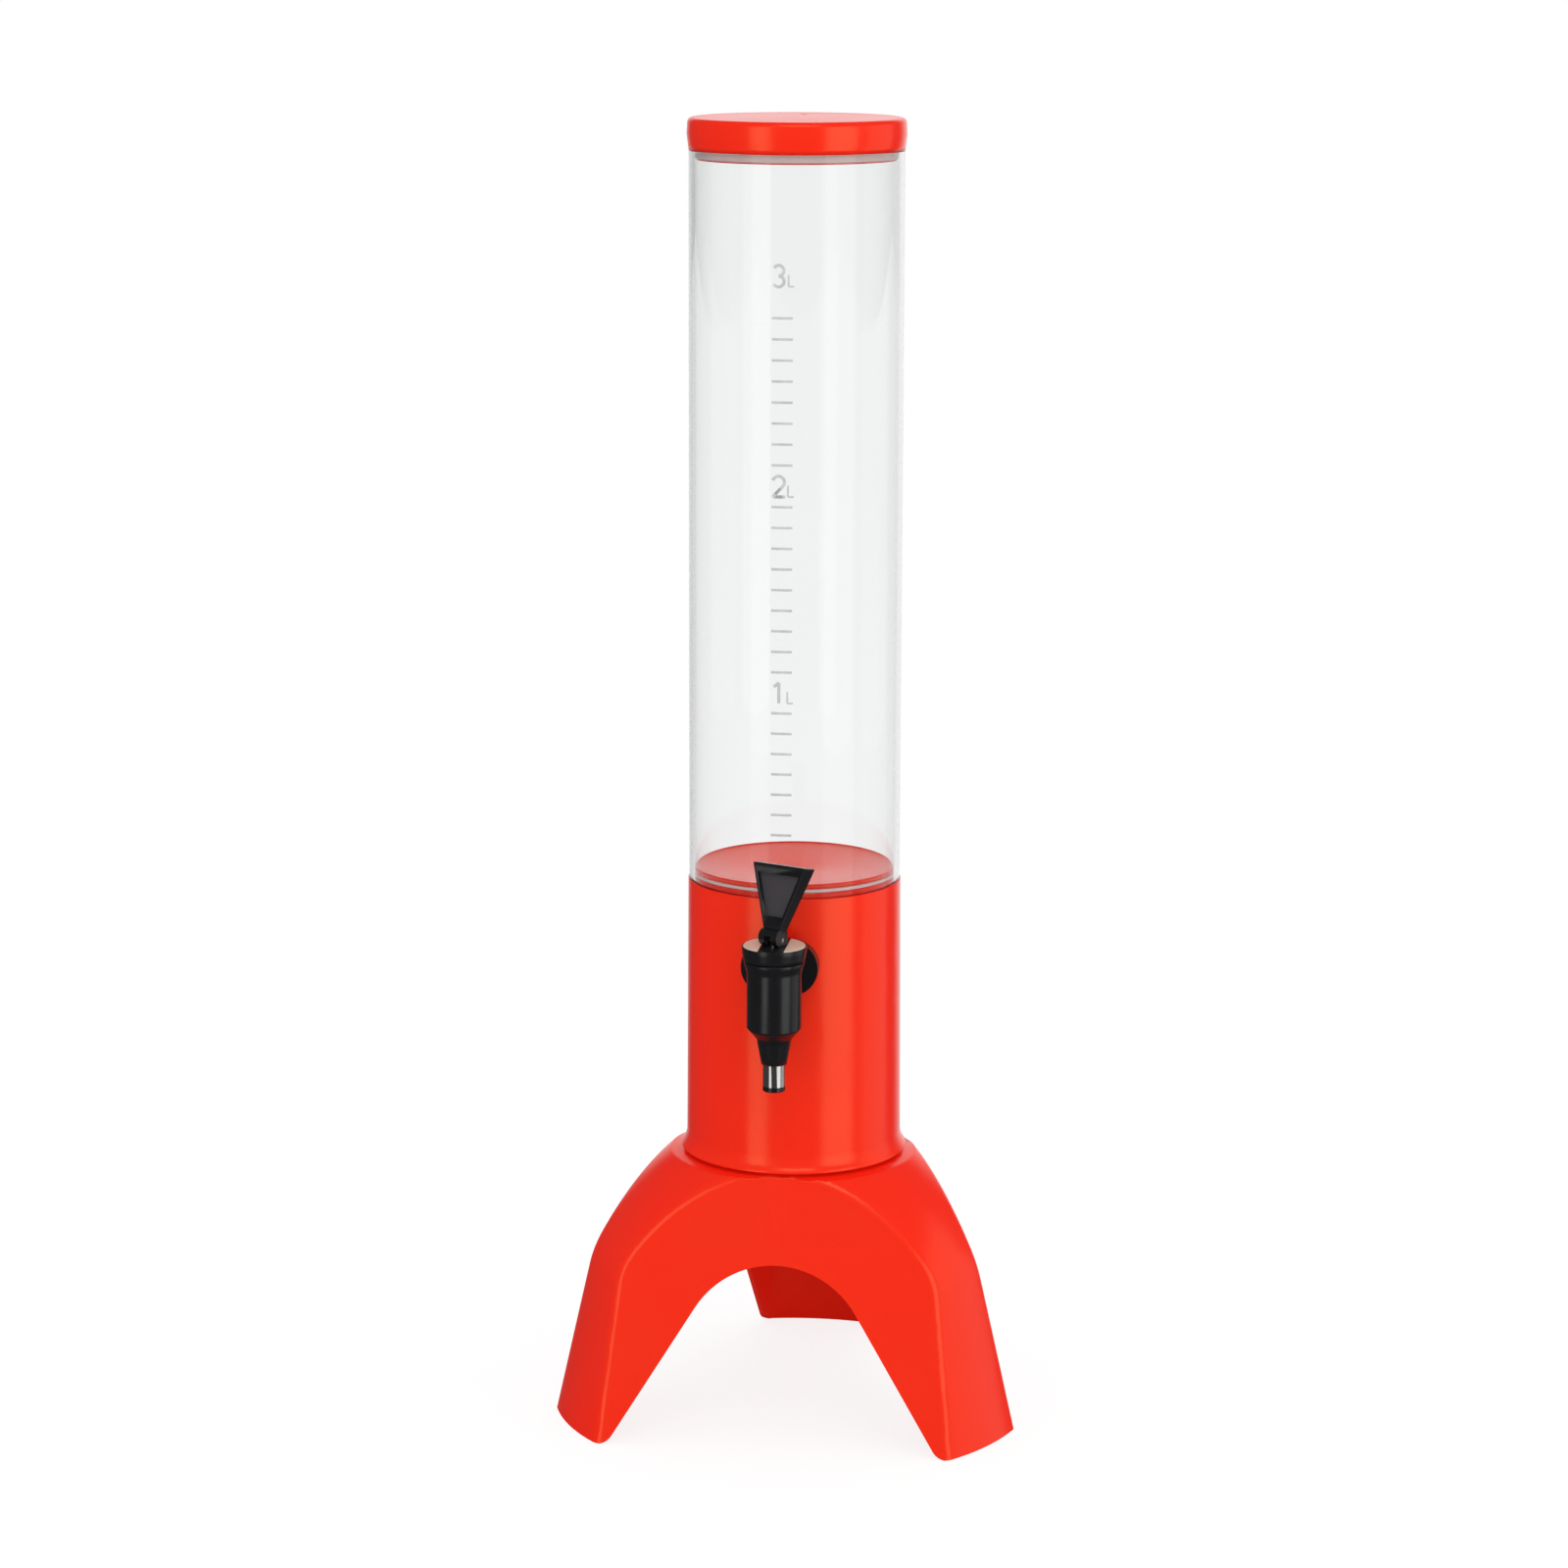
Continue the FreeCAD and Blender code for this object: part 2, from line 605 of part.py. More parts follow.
def ring_body(label, radius, height, section):
    """A round-section ring lying level."""
    body = new_body(label)
    revolve(body, circle(new_sketch(body, "XZ_Plane"), radius, height, section))
    return body


def build_tube_seal():
    """The O-ring in the spigot's groove."""
    section = size["tubeSealSection"]
    groove_foot = column_top + size["columnWall"]
    return ring_body("tube_seal", tube_bore - fit / 4 - section, groove_foot + section + fit * 2,
                     section - fit / 4)


def build_lid():
    """The red lid with its plug and a small air hole."""
    top = tube_top + size["lidHeight"]
    round_radius = size["lidEdgeRound"]
    shoulder = top - round_radius
    belly = tube_top + size["lidHeight"] / 2
    under = top - size["lidTopWall"]
    inner = size["lidBelly"] - size["lidSideWall"] - edge
    plug_inner = size["lidPlugRadius"] - size["lidPlugWall"]
    plug_end = tube_top - size["lidPlugDepth"]
    lip = size["lidPlugRadius"] + edge * 2
    crest = size["lidBelly"] - edge / 2
    centre = (crest - round_radius, shoulder)
    body = turned_body("lid", [
        (inner, tube_top), (size["tubeRadius"], tube_top), (size["lidBelly"], belly),
        (crest, shoulder, centre, round_radius), (crest - round_radius, top), (ZERO, top), (ZERO, under),
        (plug_inner, under), (plug_inner, plug_end), (lip, plug_end), (lip, plug_end + edge),
        (size["lidPlugRadius"], plug_end + edge), (size["lidPlugRadius"], tube_top),
    ])
    hollow = polygon(new_sketch(body, "XZ_Plane"), [
        (size["lidPlugRadius"], tube_top + size["lidSideWall"]),
        (inner, tube_top + size["lidSideWall"]), (inner, under), (size["lidPlugRadius"], under),
    ])
    groove(body, hollow)
    vent = circle(new_sketch(body, "XY_Plane", under), ZERO, size["ventOffset"], size["ventRadius"])
    pocket(body, vent, size["lidTopWall"], reverse=True)
    return body


def build_lid_seal():
    """The soft ring between the lid's plug and the tube."""
    foot = tube_top - size["lidPlugDepth"] + edge + fit
    inner = size["lidPlugRadius"] + fit
    outer = tube_bore - soft
    return turned_body("lid_seal", [
        (inner, foot), (outer - edge, foot), (outer, foot + edge), (outer, tube_top - fit - edge),
        (outer - edge, tube_top - fit), (inner, tube_top - fit),
    ])


def build_base_screws():
    """Three pan-head screws, put in from below the deck."""
    deck_under = column_foot - size["deckThickness"]
    body = new_body("base_screws")
    body.AllowCompound = True
    seat_height = deck_under - size["screwHeadHeight"]
    head = circle(new_sketch(body, "XY_Plane", seat_height), ZERO, size["screwCircle"],
                  size["screwHeadRadius"])
    heads = pad(body, head, size["screwHeadHeight"])
    core = circle(new_sketch(body, "XY_Plane", deck_under), ZERO, size["screwCircle"],
                  size["screwRadius"] - fit * 4)
    shanks = pad(body, core, size["screwLength"])
    slot = new_sketch(body, "XY_Plane", seat_height)
    bar = size["driveReach"]
    blade = size["driveWidth"] / 2
    y = size["screwCircle"]
    polygon(slot, [
        (-bar, y - blade), (-blade, y - blade), (-blade, y - bar), (blade, y - bar), (blade, y - blade),
        (bar, y - blade), (bar, y + blade), (blade, y + blade), (blade, y + bar), (-blade, y + bar),
        (-blade, y + blade), (-bar, y + blade),
    ])
    cross = pocket(body, slot, size["screwHeadHeight"] / 2, reverse=True)
    polar(body, [heads, shanks, cross], 3)
    return body


def along_shank(body, points):
    """Turn an outline of distance and radius about the tap's level axis, in the tap's own frame."""
    return revolve(body, polygon(new_sketch(body, "YZ_Plane"), points), "H_Axis")


def at_tap(body):
    """Set a body, drawn about the tap's upright axis and the shank's height, in its place."""
    return stand(body, ZERO, -reach, shank)


def build_tap_body():
    """The black barrel with its spout, and the threaded shank with its hose tail."""
    barrel_top = size["barrelTaperTop"]
    spout_foot = -size["spoutEnd"]
    body = turned_body("tap_body", [
        (ZERO, spout_foot), (size["spoutRadius"], spout_foot), (size["spoutRadius"], -size["coneFoot"]),
        (size["coneFootRadius"], -size["coneFoot"]), (size["coneTopRadius"], -size["coneTop"]),
        (size["barrelRadius"], -size["barrelFoot"]), (size["barrelRadius"], size["barrelTaperFoot"]),
        (size["barrelTopRadius"], barrel_top - edge), (size["barrelTopRadius"] - edge, barrel_top),
        (size["threadRadius"], barrel_top), (size["threadRadius"], size["threadTop"]),
        (ZERO, size["threadTop"]),
    ])
    collar_end = reach - size["saddleFront"]
    thread_end = reach - size["innerSaddleFace"] + size["nutThickness"] + edge * 2
    tail = reach - size["tailEnd"]
    barb = size["barbRadius"] + size["barbRise"]
    step = size["barbPitch"]
    along_shank(body, [
        (ZERO, ZERO), (ZERO, size["neckRadius"]), (collar_end, size["neckRadius"]),
        (collar_end, size["shankRadius"]), (thread_end - edge, size["shankRadius"]),
        (thread_end, size["shankRadius"] - edge), (thread_end, size["barbRadius"]),
        (tail - step * 2, size["barbRadius"]), (tail - step * 2, barb), (tail - step, size["barbRadius"]),
        (tail - step, barb), (tail, size["barbRadius"] - edge / 2), (tail, ZERO),
    ])
    chamber_foot = -size["chamberFoot"]
    groove(body, polygon(new_sketch(body, "XZ_Plane"), [
        (ZERO, seat), (size["seatRadius"], seat), (size["seatRadius"], seat + edge),
        (size["chamberRadius"], chamber_foot), (size["chamberRadius"], size["threadTop"]),
        (ZERO, size["threadTop"]),
    ]))
    spout = circle(new_sketch(body, "XY_Plane", spout_foot), ZERO, ZERO, size["spoutBore"])
    pocket(body, spout, size["spoutEnd"] - size["seatDepth"], reverse=True)
    bore = circle(new_sketch(body, "XZ_Plane"), ZERO, ZERO, size["drainBore"])
    pocket(body, bore, tail)
    return at_tap(body)


def build_saddles():
    """The round collar outside the column and the block inside it, each shaped to the drafted wall."""
    low = shank - size["saddleRadius"] - edge
    high = shank + size["saddleRadius"] + edge
    hole = size["shankRadius"] + fit
    collar = new_body("tap_saddle")
    front = size["saddleFront"]
    back = size["innerSaddleFace"]
    end = size["saddleRadius"]
    spread = size["saddleSpread"]
    right = (spread, shank)
    left = (-spread, shank)
    outline = polygon(new_sketch(collar, "XZ_Plane", back), [
        (-spread, shank - end), (spread, shank - end, right, end), (spread + end, shank, right, end),
        (spread, shank + end), (-spread, shank + end, left, end), (-spread - end, shank, left, end),
    ])
    pad(collar, outline, front - back)
    groove(collar, polygon(new_sketch(collar, "XZ_Plane"), [
        (ZERO, low), (column_radius(low) + fit, low), (column_radius(high) + fit, high), (ZERO, high),
    ]))
    pocket(collar, circle(new_sketch(collar, "XZ_Plane"), ZERO, shank, hole), front, reverse=True)
    block = new_body("inner_saddle")
    disc = circle(new_sketch(block, "XZ_Plane", back), ZERO, shank, size["innerSaddleRadius"])
    pad(block, disc, front - back)
    inset = size["columnWall"] + fit
    groove(block, polygon(new_sketch(block, "XZ_Plane"), [
        (column_radius(low) - inset, low), (far, low), (far, high), (column_radius(high) - inset, high),
    ]))
    pocket(block, circle(new_sketch(block, "XZ_Plane"), ZERO, shank, hole), front, reverse=True)
    return [collar, block]


def build_shank_nut():
    """The hexagon nut inside the column."""
    body = new_body("shank_nut")
    corner = size["nutAcross"] / 2 / Size(30, "30.0").cos()
    face = size["innerSaddleFace"] - size["nutThickness"]
    sketch = new_sketch(body, "XZ_Plane", face)
    turns = [Size(60 * count, repr(60.0 * count)) for count in range(6)]
    polygon(sketch, [(corner * turn.cos(), shank + corner * turn.sin()) for turn in turns])
    circle(sketch, ZERO, shank, size["shankRadius"] + fit)
    pad(body, sketch, size["nutThickness"])
    return body


def build_hose():
    """The soft bend from the drain to the tap's tail."""
    body = new_body("hose")
    top = floor_under - soft
    tail_root = size["innerSaddleFace"] - size["nutThickness"] - edge * 2 - soft
    bend = size["hoseBend"]
    plan = circle(new_sketch(body, "XY_Plane", top), ZERO, ZERO, hose_outer)
    circle(plan, ZERO, ZERO, hose_bore)
    path = polygon(new_sketch(body, "YZ_Plane"), [
        (ZERO, top), (ZERO, shank + bend, (-bend, shank + bend), bend), (-bend, shank),
        (-tail_root, shank),
    ], closed=False)
    pipe = body.newObject("PartDesign::AdditivePipe", "Pipe")
    pipe.Profile = plan
    pipe.Spine = path
    return body


def build_hose_clamps():
    """Two band clamps with their screw housings, one on each end of the hose."""
    inner = hose_outer + fit
    outer = inner + size["clampBand"]
    width = size["clampWidth"]
    housing = size["clampHousing"]
    top = floor_under - width / 2
    body = new_body("hose_clamps")
    body.AllowCompound = True
    upper = new_sketch(body, "XY_Plane", top - width)
    circle(upper, ZERO, ZERO, outer)
    pad(body, upper, width)
    block = polygon(new_sketch(body, "XY_Plane", top - width), [
        (-housing, -outer - housing), (housing, -outer - housing), (housing, -inner - edge / 2),
        (-housing, -inner - edge / 2),
    ])
    pad(body, block, width)
    pocket(body, circle(new_sketch(body, "XY_Plane", top - width), ZERO, ZERO, inner), width, reverse=True)
    level = size["tailEnd"] + width
    lower = circle(new_sketch(body, "XZ_Plane", level), ZERO, shank, outer)
    pad(body, lower, width)
    low_block = polygon(new_sketch(body, "XZ_Plane", level), [
        (-housing, shank - outer - housing), (housing, shank - outer - housing),
        (housing, shank - inner - edge / 2), (-housing, shank - inner - edge / 2),
    ])
    pad(body, low_block, width)
    pocket(body, circle(new_sketch(body, "XZ_Plane", level), ZERO, shank, inner), width, reverse=True)
    return body


def build_bonnet():
    """The black cap on the barrel that guides the stem, with a bar across its top from front to back."""
    foot = size["barrelTaperTop"] + soft
    top = size["bonnetTop"]
    recess = size["camPlateRadius"] + fit
    guide_foot = size["guideFoot"]
    groove_radius = stem_bore + size["stemSealSection"] * 2
    groove_half = size["stemSealSection"] + fit
    seal_line = size["stemSealHeight"]
    body = turned_body("bonnet", [
        (size["threadRadius"] + fit, foot), (size["bonnetFootRadius"] - edge, foot),
        (size["bonnetFootRadius"], foot + edge), (size["bonnetRadius"], plate_foot - edge),
        (size["bonnetRadius"], top - edge / 2), (size["bonnetRadius"] - edge / 2, top), (recess, top),
        (recess, plate_foot), (stem_bore, plate_foot),
        (stem_bore, seal_line + groove_half), (groove_radius, seal_line + groove_half),
        (groove_radius, seal_line - groove_half), (stem_bore, seal_line - groove_half),
        (stem_bore, guide_foot), (size["guideRadius"], guide_foot),
        (size["guideRadius"], size["bonnetCeiling"]),
        (size["threadRadius"] + fit, size["bonnetCeiling"]),
    ])
    half = size["camBarWidth"] / 2
    end = size["bonnetRadius"] - edge / 2
    reach_out = (end * end - half * half).root()
    middle = (ZERO, ZERO)
    bar = polygon(new_sketch(body, "XY_Plane", plate_foot), [
        (half, -reach_out), (half, reach_out, middle, end), (-half, reach_out),
        (-half, -reach_out, middle, end),
    ])
    circle(bar, ZERO, ZERO, size["stemRadius"] + soft)
    pad(body, bar, size["camPlateThickness"])
    return at_tap(body)


def build_bonnet_seal():
    """The flat ring between the barrel's end and the bonnet."""
    foot = size["threadTop"] + fit / 2
    top = size["bonnetCeiling"] - fit / 2
    return at_tap(turned_body("bonnet_seal", [
        (size["chamberRadius"] + fit * 2, foot), (size["threadRadius"] - fit, foot),
        (size["threadRadius"] - fit, top), (size["chamberRadius"] + fit * 2, top),
    ]))


def build_stem_seal():
    """The O-ring round the stem."""
    section = size["stemSealSection"]
    return at_tap(ring_body("stem_seal", stem_bore + section, size["stemSealHeight"], section - fit / 4))


def build_cam_plate():
    """The pale plate in the bonnet's top, in two halves beside the bar."""
    outer = size["camPlateRadius"]
    body = turned_body("cam_plate", [
        (ZERO, plate_foot), (outer, plate_foot), (outer, plate_top - edge / 2),
        (outer - edge / 2, plate_top), (ZERO, plate_top),
    ])
    body.AllowCompound = True
    half = size["camBarWidth"] / 2 + fit
    gap = polygon(new_sketch(body, "XY_Plane", plate_foot), [
        (-half, -outer * 2), (half, -outer * 2), (half, outer * 2), (-half, outer * 2),
    ])
    pocket(body, gap, size["camPlateThickness"], reverse=True)
    return at_tap(body)


def build_valve_plug():
    """The silicone plug with the pocket that holds the stem's head."""
    head_low = plug_foot + size["plugFloor"]
    head_high = head_low + size["headHeight"] + fit
    body = turned_body("valve_plug", [
        (ZERO, plug_foot), (size["plugRadius"] - edge, plug_foot), (size["plugRadius"], plug_foot + edge),
        (size["plugRadius"], plug_top), (stem_bore, plug_top), (stem_bore, head_high),
        (size["headRadius"] + run, head_high), (size["headRadius"] + run, head_low), (ZERO, head_low),
    ])
    return at_tap(body)


def build_spring_collar():
    """The steel collar between the plug and the spring."""
    return at_tap(turned_body("spring_collar", [
        (stem_bore, plug_top), (size["collarRadius"] - edge / 2, plug_top),
        (size["collarRadius"], plug_top + edge / 2), (size["collarRadius"], collar_top),
        (stem_bore, collar_top),
    ]))


def build_valve_spring():
    """The closing spring, one unbroken wire from the collar to the bonnet's guide."""
    body = new_body("valve_spring")
    wire = size["springWire"]
    start = collar_top + wire + fit / 2
    rise = size["guideFoot"] - collar_top - wire * 2 - fit
    profile = circle(new_sketch(body, "XZ_Plane"), size["springRadius"], start, wire)
    coil = body.newObject("PartDesign::AdditiveHelix", "Helix")
    coil.Profile = profile
    coil.ReferenceAxis = (profile, ["V_Axis"])
    coil.Mode = 0
    coil.Pitch = (rise / size["springTurns"]).value
    coil.setExpression("Pitch", (rise / size["springTurns"]).text)
    coil.Height = rise.value
    coil.setExpression("Height", rise.text)
    return at_tap(body)


def turned_with_handle(body, height):
    """Set a body on the tap's upright axis, swivelled as the handle stands at rest."""
    body.Placement = Placement(Vector(), Rotation(Vector(0, 0, 1), size["handleTurn"].value))
    body.setExpression("Placement.Rotation.Angle", size["handleTurn"].text)
    return stand(body, ZERO, -reach, shank + height)


def build_valve_stem():
    """The steel stem: a head in the plug, a round shank and a flat tongue for the handle's pin."""
    head_low = plug_foot + size["plugFloor"] + fit / 2
    head_high = head_low + size["headHeight"]
    radius = size["stemRadius"]
    body = turned_body("valve_stem", [
        (ZERO, head_low), (size["headRadius"], head_low), (size["headRadius"], head_high),
        (radius, head_high), (radius, pin_height), (ZERO, pin_height),
    ])
    tip = circle(new_sketch(body, "YZ_Plane"), ZERO, pin_height, radius)
    pad(body, tip, size["tongueWidth"], midplane=True)
    flat_foot = plate_foot - edge * 3
    tongue = size["tongueWidth"] / 2
    for side in (1, -1):
        cheek = polygon(new_sketch(body, "XZ_Plane"), [
            (tongue * side, flat_foot), (radius * 2 * side, flat_foot),
            (radius * 2 * side, pin_height + radius), (tongue * side, pin_height + radius),
        ])
        pocket(body, cheek, radius * 4, midplane=True)
    hole = circle(new_sketch(body, "YZ_Plane"), ZERO, pin_height, size["pinRadius"] + run)
    pocket(body, hole, radius * 4, midplane=True)
    return turned_with_handle(body, ZERO)


def build_handle_pin():
    """The pin through the handle's two ears and the stem's tongue."""
    body = new_body("handle_pin")
    pad(body, circle(new_sketch(body, "YZ_Plane"), ZERO, ZERO, size["pinRadius"]),
        size["hubWidth"] - fit * 4, midplane=True)
    return turned_with_handle(body, pin_height)


def lean_sketch(body, ahead):
    """A sketch parallel to the handle's leaning front face, a distance ahead of the pin."""
    sketch = new_sketch(body, "XZ_Plane")
    lean = size["handleLean"]
    up = ahead * lean.sin()
    out = ahead * lean.cos()
    sketch.AttachmentOffset = Placement(Vector(0, up.value, out.value),
                                        Rotation(Vector(-1, 0, 0), lean.value))
    sketch.setExpression("AttachmentOffset.Base.y", up.text)
    sketch.setExpression("AttachmentOffset.Base.z", out.text)
    sketch.setExpression("AttachmentOffset.Rotation.Angle", lean.text)
    return sketch


def handle_half(length):
    """Half width of the handle at a length along its lean from the pin."""
    neck = size["handleNeckHeight"]
    share = (length - neck) / (size["handleHeight"] - neck)
    return (size["handleNeckWidth"] + (size["handleTopWidth"] - size["handleNeckWidth"]) * share) / 2


def recess_corners(inset):
    """Corners of the recess in the handle's face, moved inward by an inset."""
    low = size["handleNeckHeight"] + size["handleFootBorder"] + inset
    high = size["handleHeight"] - size["handleTopBorder"] - inset
    low_half = handle_half(low) - size["handleBorder"] - inset
    high_half = handle_half(high) - size["handleBorder"] - inset
    return [(-low_half, low), (low_half, low), (high_half, high), (-high_half, high)]


def build_tap_handle():
    """The flared paddle with its cam heel, its slot for the stem and the recess in its face."""
    body = new_body("tap_handle")
    lean = size["handleLean"]
    neck = size["handleNeckHeight"]
    top = size["handleHeight"]
    front = size["handleFront"]
    low = size["handleNeckWidth"] / 2
    high = size["handleTopWidth"] / 2
    face = polygon(lean_sketch(body, front), [
        (-low, edge), (low, edge), (low, neck), (high, top), (-high, top), (-low, neck),
    ])
    pad(body, face, size["handleThickness"], reverse=True)

    def behind(length, depth):
        """A spot in side view: a length up the lean and a depth behind the front face."""
        back = depth - front
        return (length * lean.sin() + back * lean.cos(), length * lean.cos() - back * lean.sin())

    taper = (size["handleThickness"] - size["handleNeckThickness"]) / (top - neck)
    wedge = polygon(new_sketch(body, "YZ_Plane"), [
        behind(-neck, size["handleNeckThickness"] - taper * neck * 2), behind(top, size["handleThickness"]),
        behind(top, size["handleThickness"] * 3), behind(-neck, size["handleThickness"] * 3),
    ])
    tapered = pocket(body, wedge, size["handleTopWidth"] * 2, midplane=True)
    middle = neck.value * 2
    round_edges(body, tapered, lambda side: side.BoundBox.ZMax > middle, edge)
    radius = size["camRadius"] - fit
    centre = (-(size["camThrow"] * size["camAngle"].cos()), size["camThrow"] * size["camAngle"].sin())
    heel = size["camRadius"]
    hub_top = centre[1] + radius
    pad(body, polygon(new_sketch(body, "YZ_Plane"), [
        (centre[0], centre[1] - radius, centre, radius), (centre[0] - radius, centre[1], centre, radius),
        (centre[0], hub_top), (heel - edge * 2, hub_top), (heel, hub_top - edge * 4),
        (heel, centre[1] - radius),
    ]), size["hubWidth"], midplane=True)
    reach_back = size["stemRadius"] + soft
    slot = polygon(new_sketch(body, "YZ_Plane"), [
        (reach_back, reach_back), (-heel * 3, reach_back), (-heel * 3, -heel * 3), (reach_back, -heel * 3),
    ])
    pocket(body, slot, size["tongueWidth"] + fit * 2, midplane=True)
    hole = circle(new_sketch(body, "YZ_Plane"), ZERO, ZERO, size["pinRadius"] + fit / 4)
    pocket(body, hole, size["hubWidth"] * 2, midplane=True)
    pocket(body, polygon(lean_sketch(body, front), recess_corners(ZERO)), size["recessDepth"])
    return turned_with_handle(body, pin_height)


def build_handle_inlay():
    """The blank panel at the bottom of the handle's recess."""
    body = new_body("handle_inlay")
    floor = size["handleFront"] - size["recessDepth"]
    pad(body, polygon(lean_sketch(body, floor), recess_corners(fit * 1.5)), size["inlayThickness"])
    return turned_with_handle(body, pin_height)


def build_spout_rings():
    """The bright sleeve on the spout and the black ring under it."""
    inner = size["spoutRadius"] + fit
    outer = size["sleeveRadius"]
    spout_foot = -size["spoutEnd"]
    joint = spout_foot + size["tipHeight"]
    sleeve_top = -size["coneFoot"] - fit
    sleeve = turned_body("nozzle_sleeve", [
        (inner, joint + fit), (outer, joint + fit), (outer, sleeve_top), (inner, sleeve_top),
    ])
    tip = turned_body("spout_tip", [
        (inner, spout_foot), (outer - edge / 2, spout_foot), (outer, spout_foot + edge / 2),
        (outer, joint), (inner, joint),
    ])
    return [at_tap(sleeve), at_tap(tip)]


sub_parts = [
    build_base(), build_base_screws(), build_column(), build_tube(), build_tube_seal(),
    build_lid(), build_lid_seal(), build_hose(), build_hose_clamps(), build_tap_body(),
    *build_saddles(), build_shank_nut(), build_bonnet(), build_bonnet_seal(), build_stem_seal(),
    build_cam_plate(), build_valve_plug(), build_spring_collar(), build_valve_spring(),
    build_valve_stem(), build_handle_pin(), build_tap_handle(), build_handle_inlay(),
    *build_spout_rings(),
]
doc.recompute()

for item in doc.Objects:
    if "Invalid" in item.State or "Error" in item.State:
        raise RuntimeError(f"{item.Name} ({item.Label}) did not build: {item.getStatusString()}")
for item in doc.Objects:
    if item.isDerivedFrom("PartDesign::Feature") and not item.Shape.isValid():
        raise RuntimeError(f"{item.Name} has no sound shape")
for item in sub_parts:
    if item.Shape.isNull() or not item.Shape.isValid():
        raise RuntimeError(f"{item.Label} has no sound shape")

os.makedirs("parts", exist_ok=True)
for item in sub_parts:
    item.Shape.exportStep(f"parts/{item.Label}.step")
    solids = len(item.Shape.Solids)
    print(f"{item.Label}: {solids} solid(s), {item.Shape.Volume:.0f} cubic mm")
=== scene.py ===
"""Dressing of a tabletop drink tower: red mouldings, a clear tube with a litre scale and a black lever tap.

Every surface is worked out in millimetres about the column's axis and scaled to metres as its mesh is made.
"""
from __future__ import annotations

import json
import logging
import math
from dataclasses import dataclass
from enum import Enum

import bmesh
import bpy
import numpy as np
from mathutils import Matrix, Vector

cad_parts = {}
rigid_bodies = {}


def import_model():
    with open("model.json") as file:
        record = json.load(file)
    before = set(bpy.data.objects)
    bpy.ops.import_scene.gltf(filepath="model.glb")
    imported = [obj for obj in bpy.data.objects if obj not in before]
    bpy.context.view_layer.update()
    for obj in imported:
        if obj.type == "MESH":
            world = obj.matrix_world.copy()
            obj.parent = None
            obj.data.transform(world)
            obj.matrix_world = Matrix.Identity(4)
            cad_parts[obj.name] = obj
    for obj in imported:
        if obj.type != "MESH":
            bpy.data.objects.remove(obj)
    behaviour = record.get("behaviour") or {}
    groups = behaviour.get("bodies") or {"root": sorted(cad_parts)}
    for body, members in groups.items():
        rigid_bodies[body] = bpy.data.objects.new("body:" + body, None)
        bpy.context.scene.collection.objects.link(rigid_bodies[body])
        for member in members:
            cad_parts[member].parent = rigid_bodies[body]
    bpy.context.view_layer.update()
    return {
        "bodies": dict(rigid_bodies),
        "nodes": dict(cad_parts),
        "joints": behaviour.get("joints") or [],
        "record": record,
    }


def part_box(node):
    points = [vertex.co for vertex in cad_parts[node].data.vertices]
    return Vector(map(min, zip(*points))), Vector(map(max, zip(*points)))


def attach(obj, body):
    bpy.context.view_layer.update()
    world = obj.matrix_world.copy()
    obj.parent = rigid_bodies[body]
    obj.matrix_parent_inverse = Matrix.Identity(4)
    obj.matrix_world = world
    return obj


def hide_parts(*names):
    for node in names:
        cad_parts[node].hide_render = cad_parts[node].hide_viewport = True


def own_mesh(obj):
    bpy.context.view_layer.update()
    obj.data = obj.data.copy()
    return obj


LOG = logging.getLogger("drink_tower")
MM = 0.001
TURN = 2.0 * math.pi
WHITE = (1.0, 1.0, 1.0, 1.0)
# Distances in millimetres below which two vertices are one: in skins worked out here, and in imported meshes
SKIN_WELD, COPY_WELD = 0.0005, 0.001
# Angles in degrees above which an edge stays sharp, in the same two kinds of mesh
SKIN_SHARP, COPY_SHARP = 50.0, 28.0
# Blender's weight of larger faces against smaller ones in a piece's shading, 1 to 100 and even at 50
FACE_WEIGHT = 50
# Values of the noise between which a finish's gloss runs from its lowest to its highest
PATCH_SPAN = (0.3, 0.7)
# Spans in each rounded corner of a turned outline
ROUND_STEPS = 5
# Share of a side that one corner's round may use, just under a half
ROUND_ROOM = 0.48
# Largest cosine of a corner's angle, so that a straight run doesn't divide by zero
STRAIGHT = 0.99999


def linear(code: str) -> tuple[float, float, float, float]:
    """Turn an sRGB hex value into a linear colour.

    Each channel c is c / 12.92 below 0.04045 and ((c + 0.055) / 1.055) to the power 2.4 above it.

    Args:
        code: six hex digits, with or without a leading hash.

    Returns:
        Red, green, blue and an alpha of 1.
    """
    digits = code.lstrip("#")
    channels = np.array([int(digits[i:i + 2], 16) for i in (0, 2, 4)]) / 255.0
    low = channels / 12.92
    high = ((channels + 0.055) / 1.055) ** 2.4
    red, green, blue = np.where(channels <= 0.04045, low, high)
    return float(red), float(green), float(blue), 1.0


def add_node(tree: bpy.types.NodeTree, kind: str, settings: dict | None = None,
             links: dict | None = None) -> bpy.types.Node:
    """Add one node to a tree, set it and link its inputs.

    Args:
        tree: the node tree.
        kind: the node's type name.
        settings: values by property name, or by input name or number.
        links: output sockets by input name or number.

    Returns:
        The new node.
    """
    node = tree.nodes.new(kind)
    for key, value in (settings or {}).items():
        if isinstance(key, str) and hasattr(node, key):
            setattr(node, key, value)
        else:
            node.inputs[key].default_value = value
    for key, socket in (links or {}).items():
        tree.links.new(socket, node.inputs[key])
    return node


def fresh_tree(name: str) -> tuple[bpy.types.Material, bpy.types.NodeTree]:
    """Make an empty node material and give it with its tree."""
    material = bpy.data.materials.new(name)
    material.use_nodes = True
    material.node_tree.nodes.clear()
    return material, material.node_tree


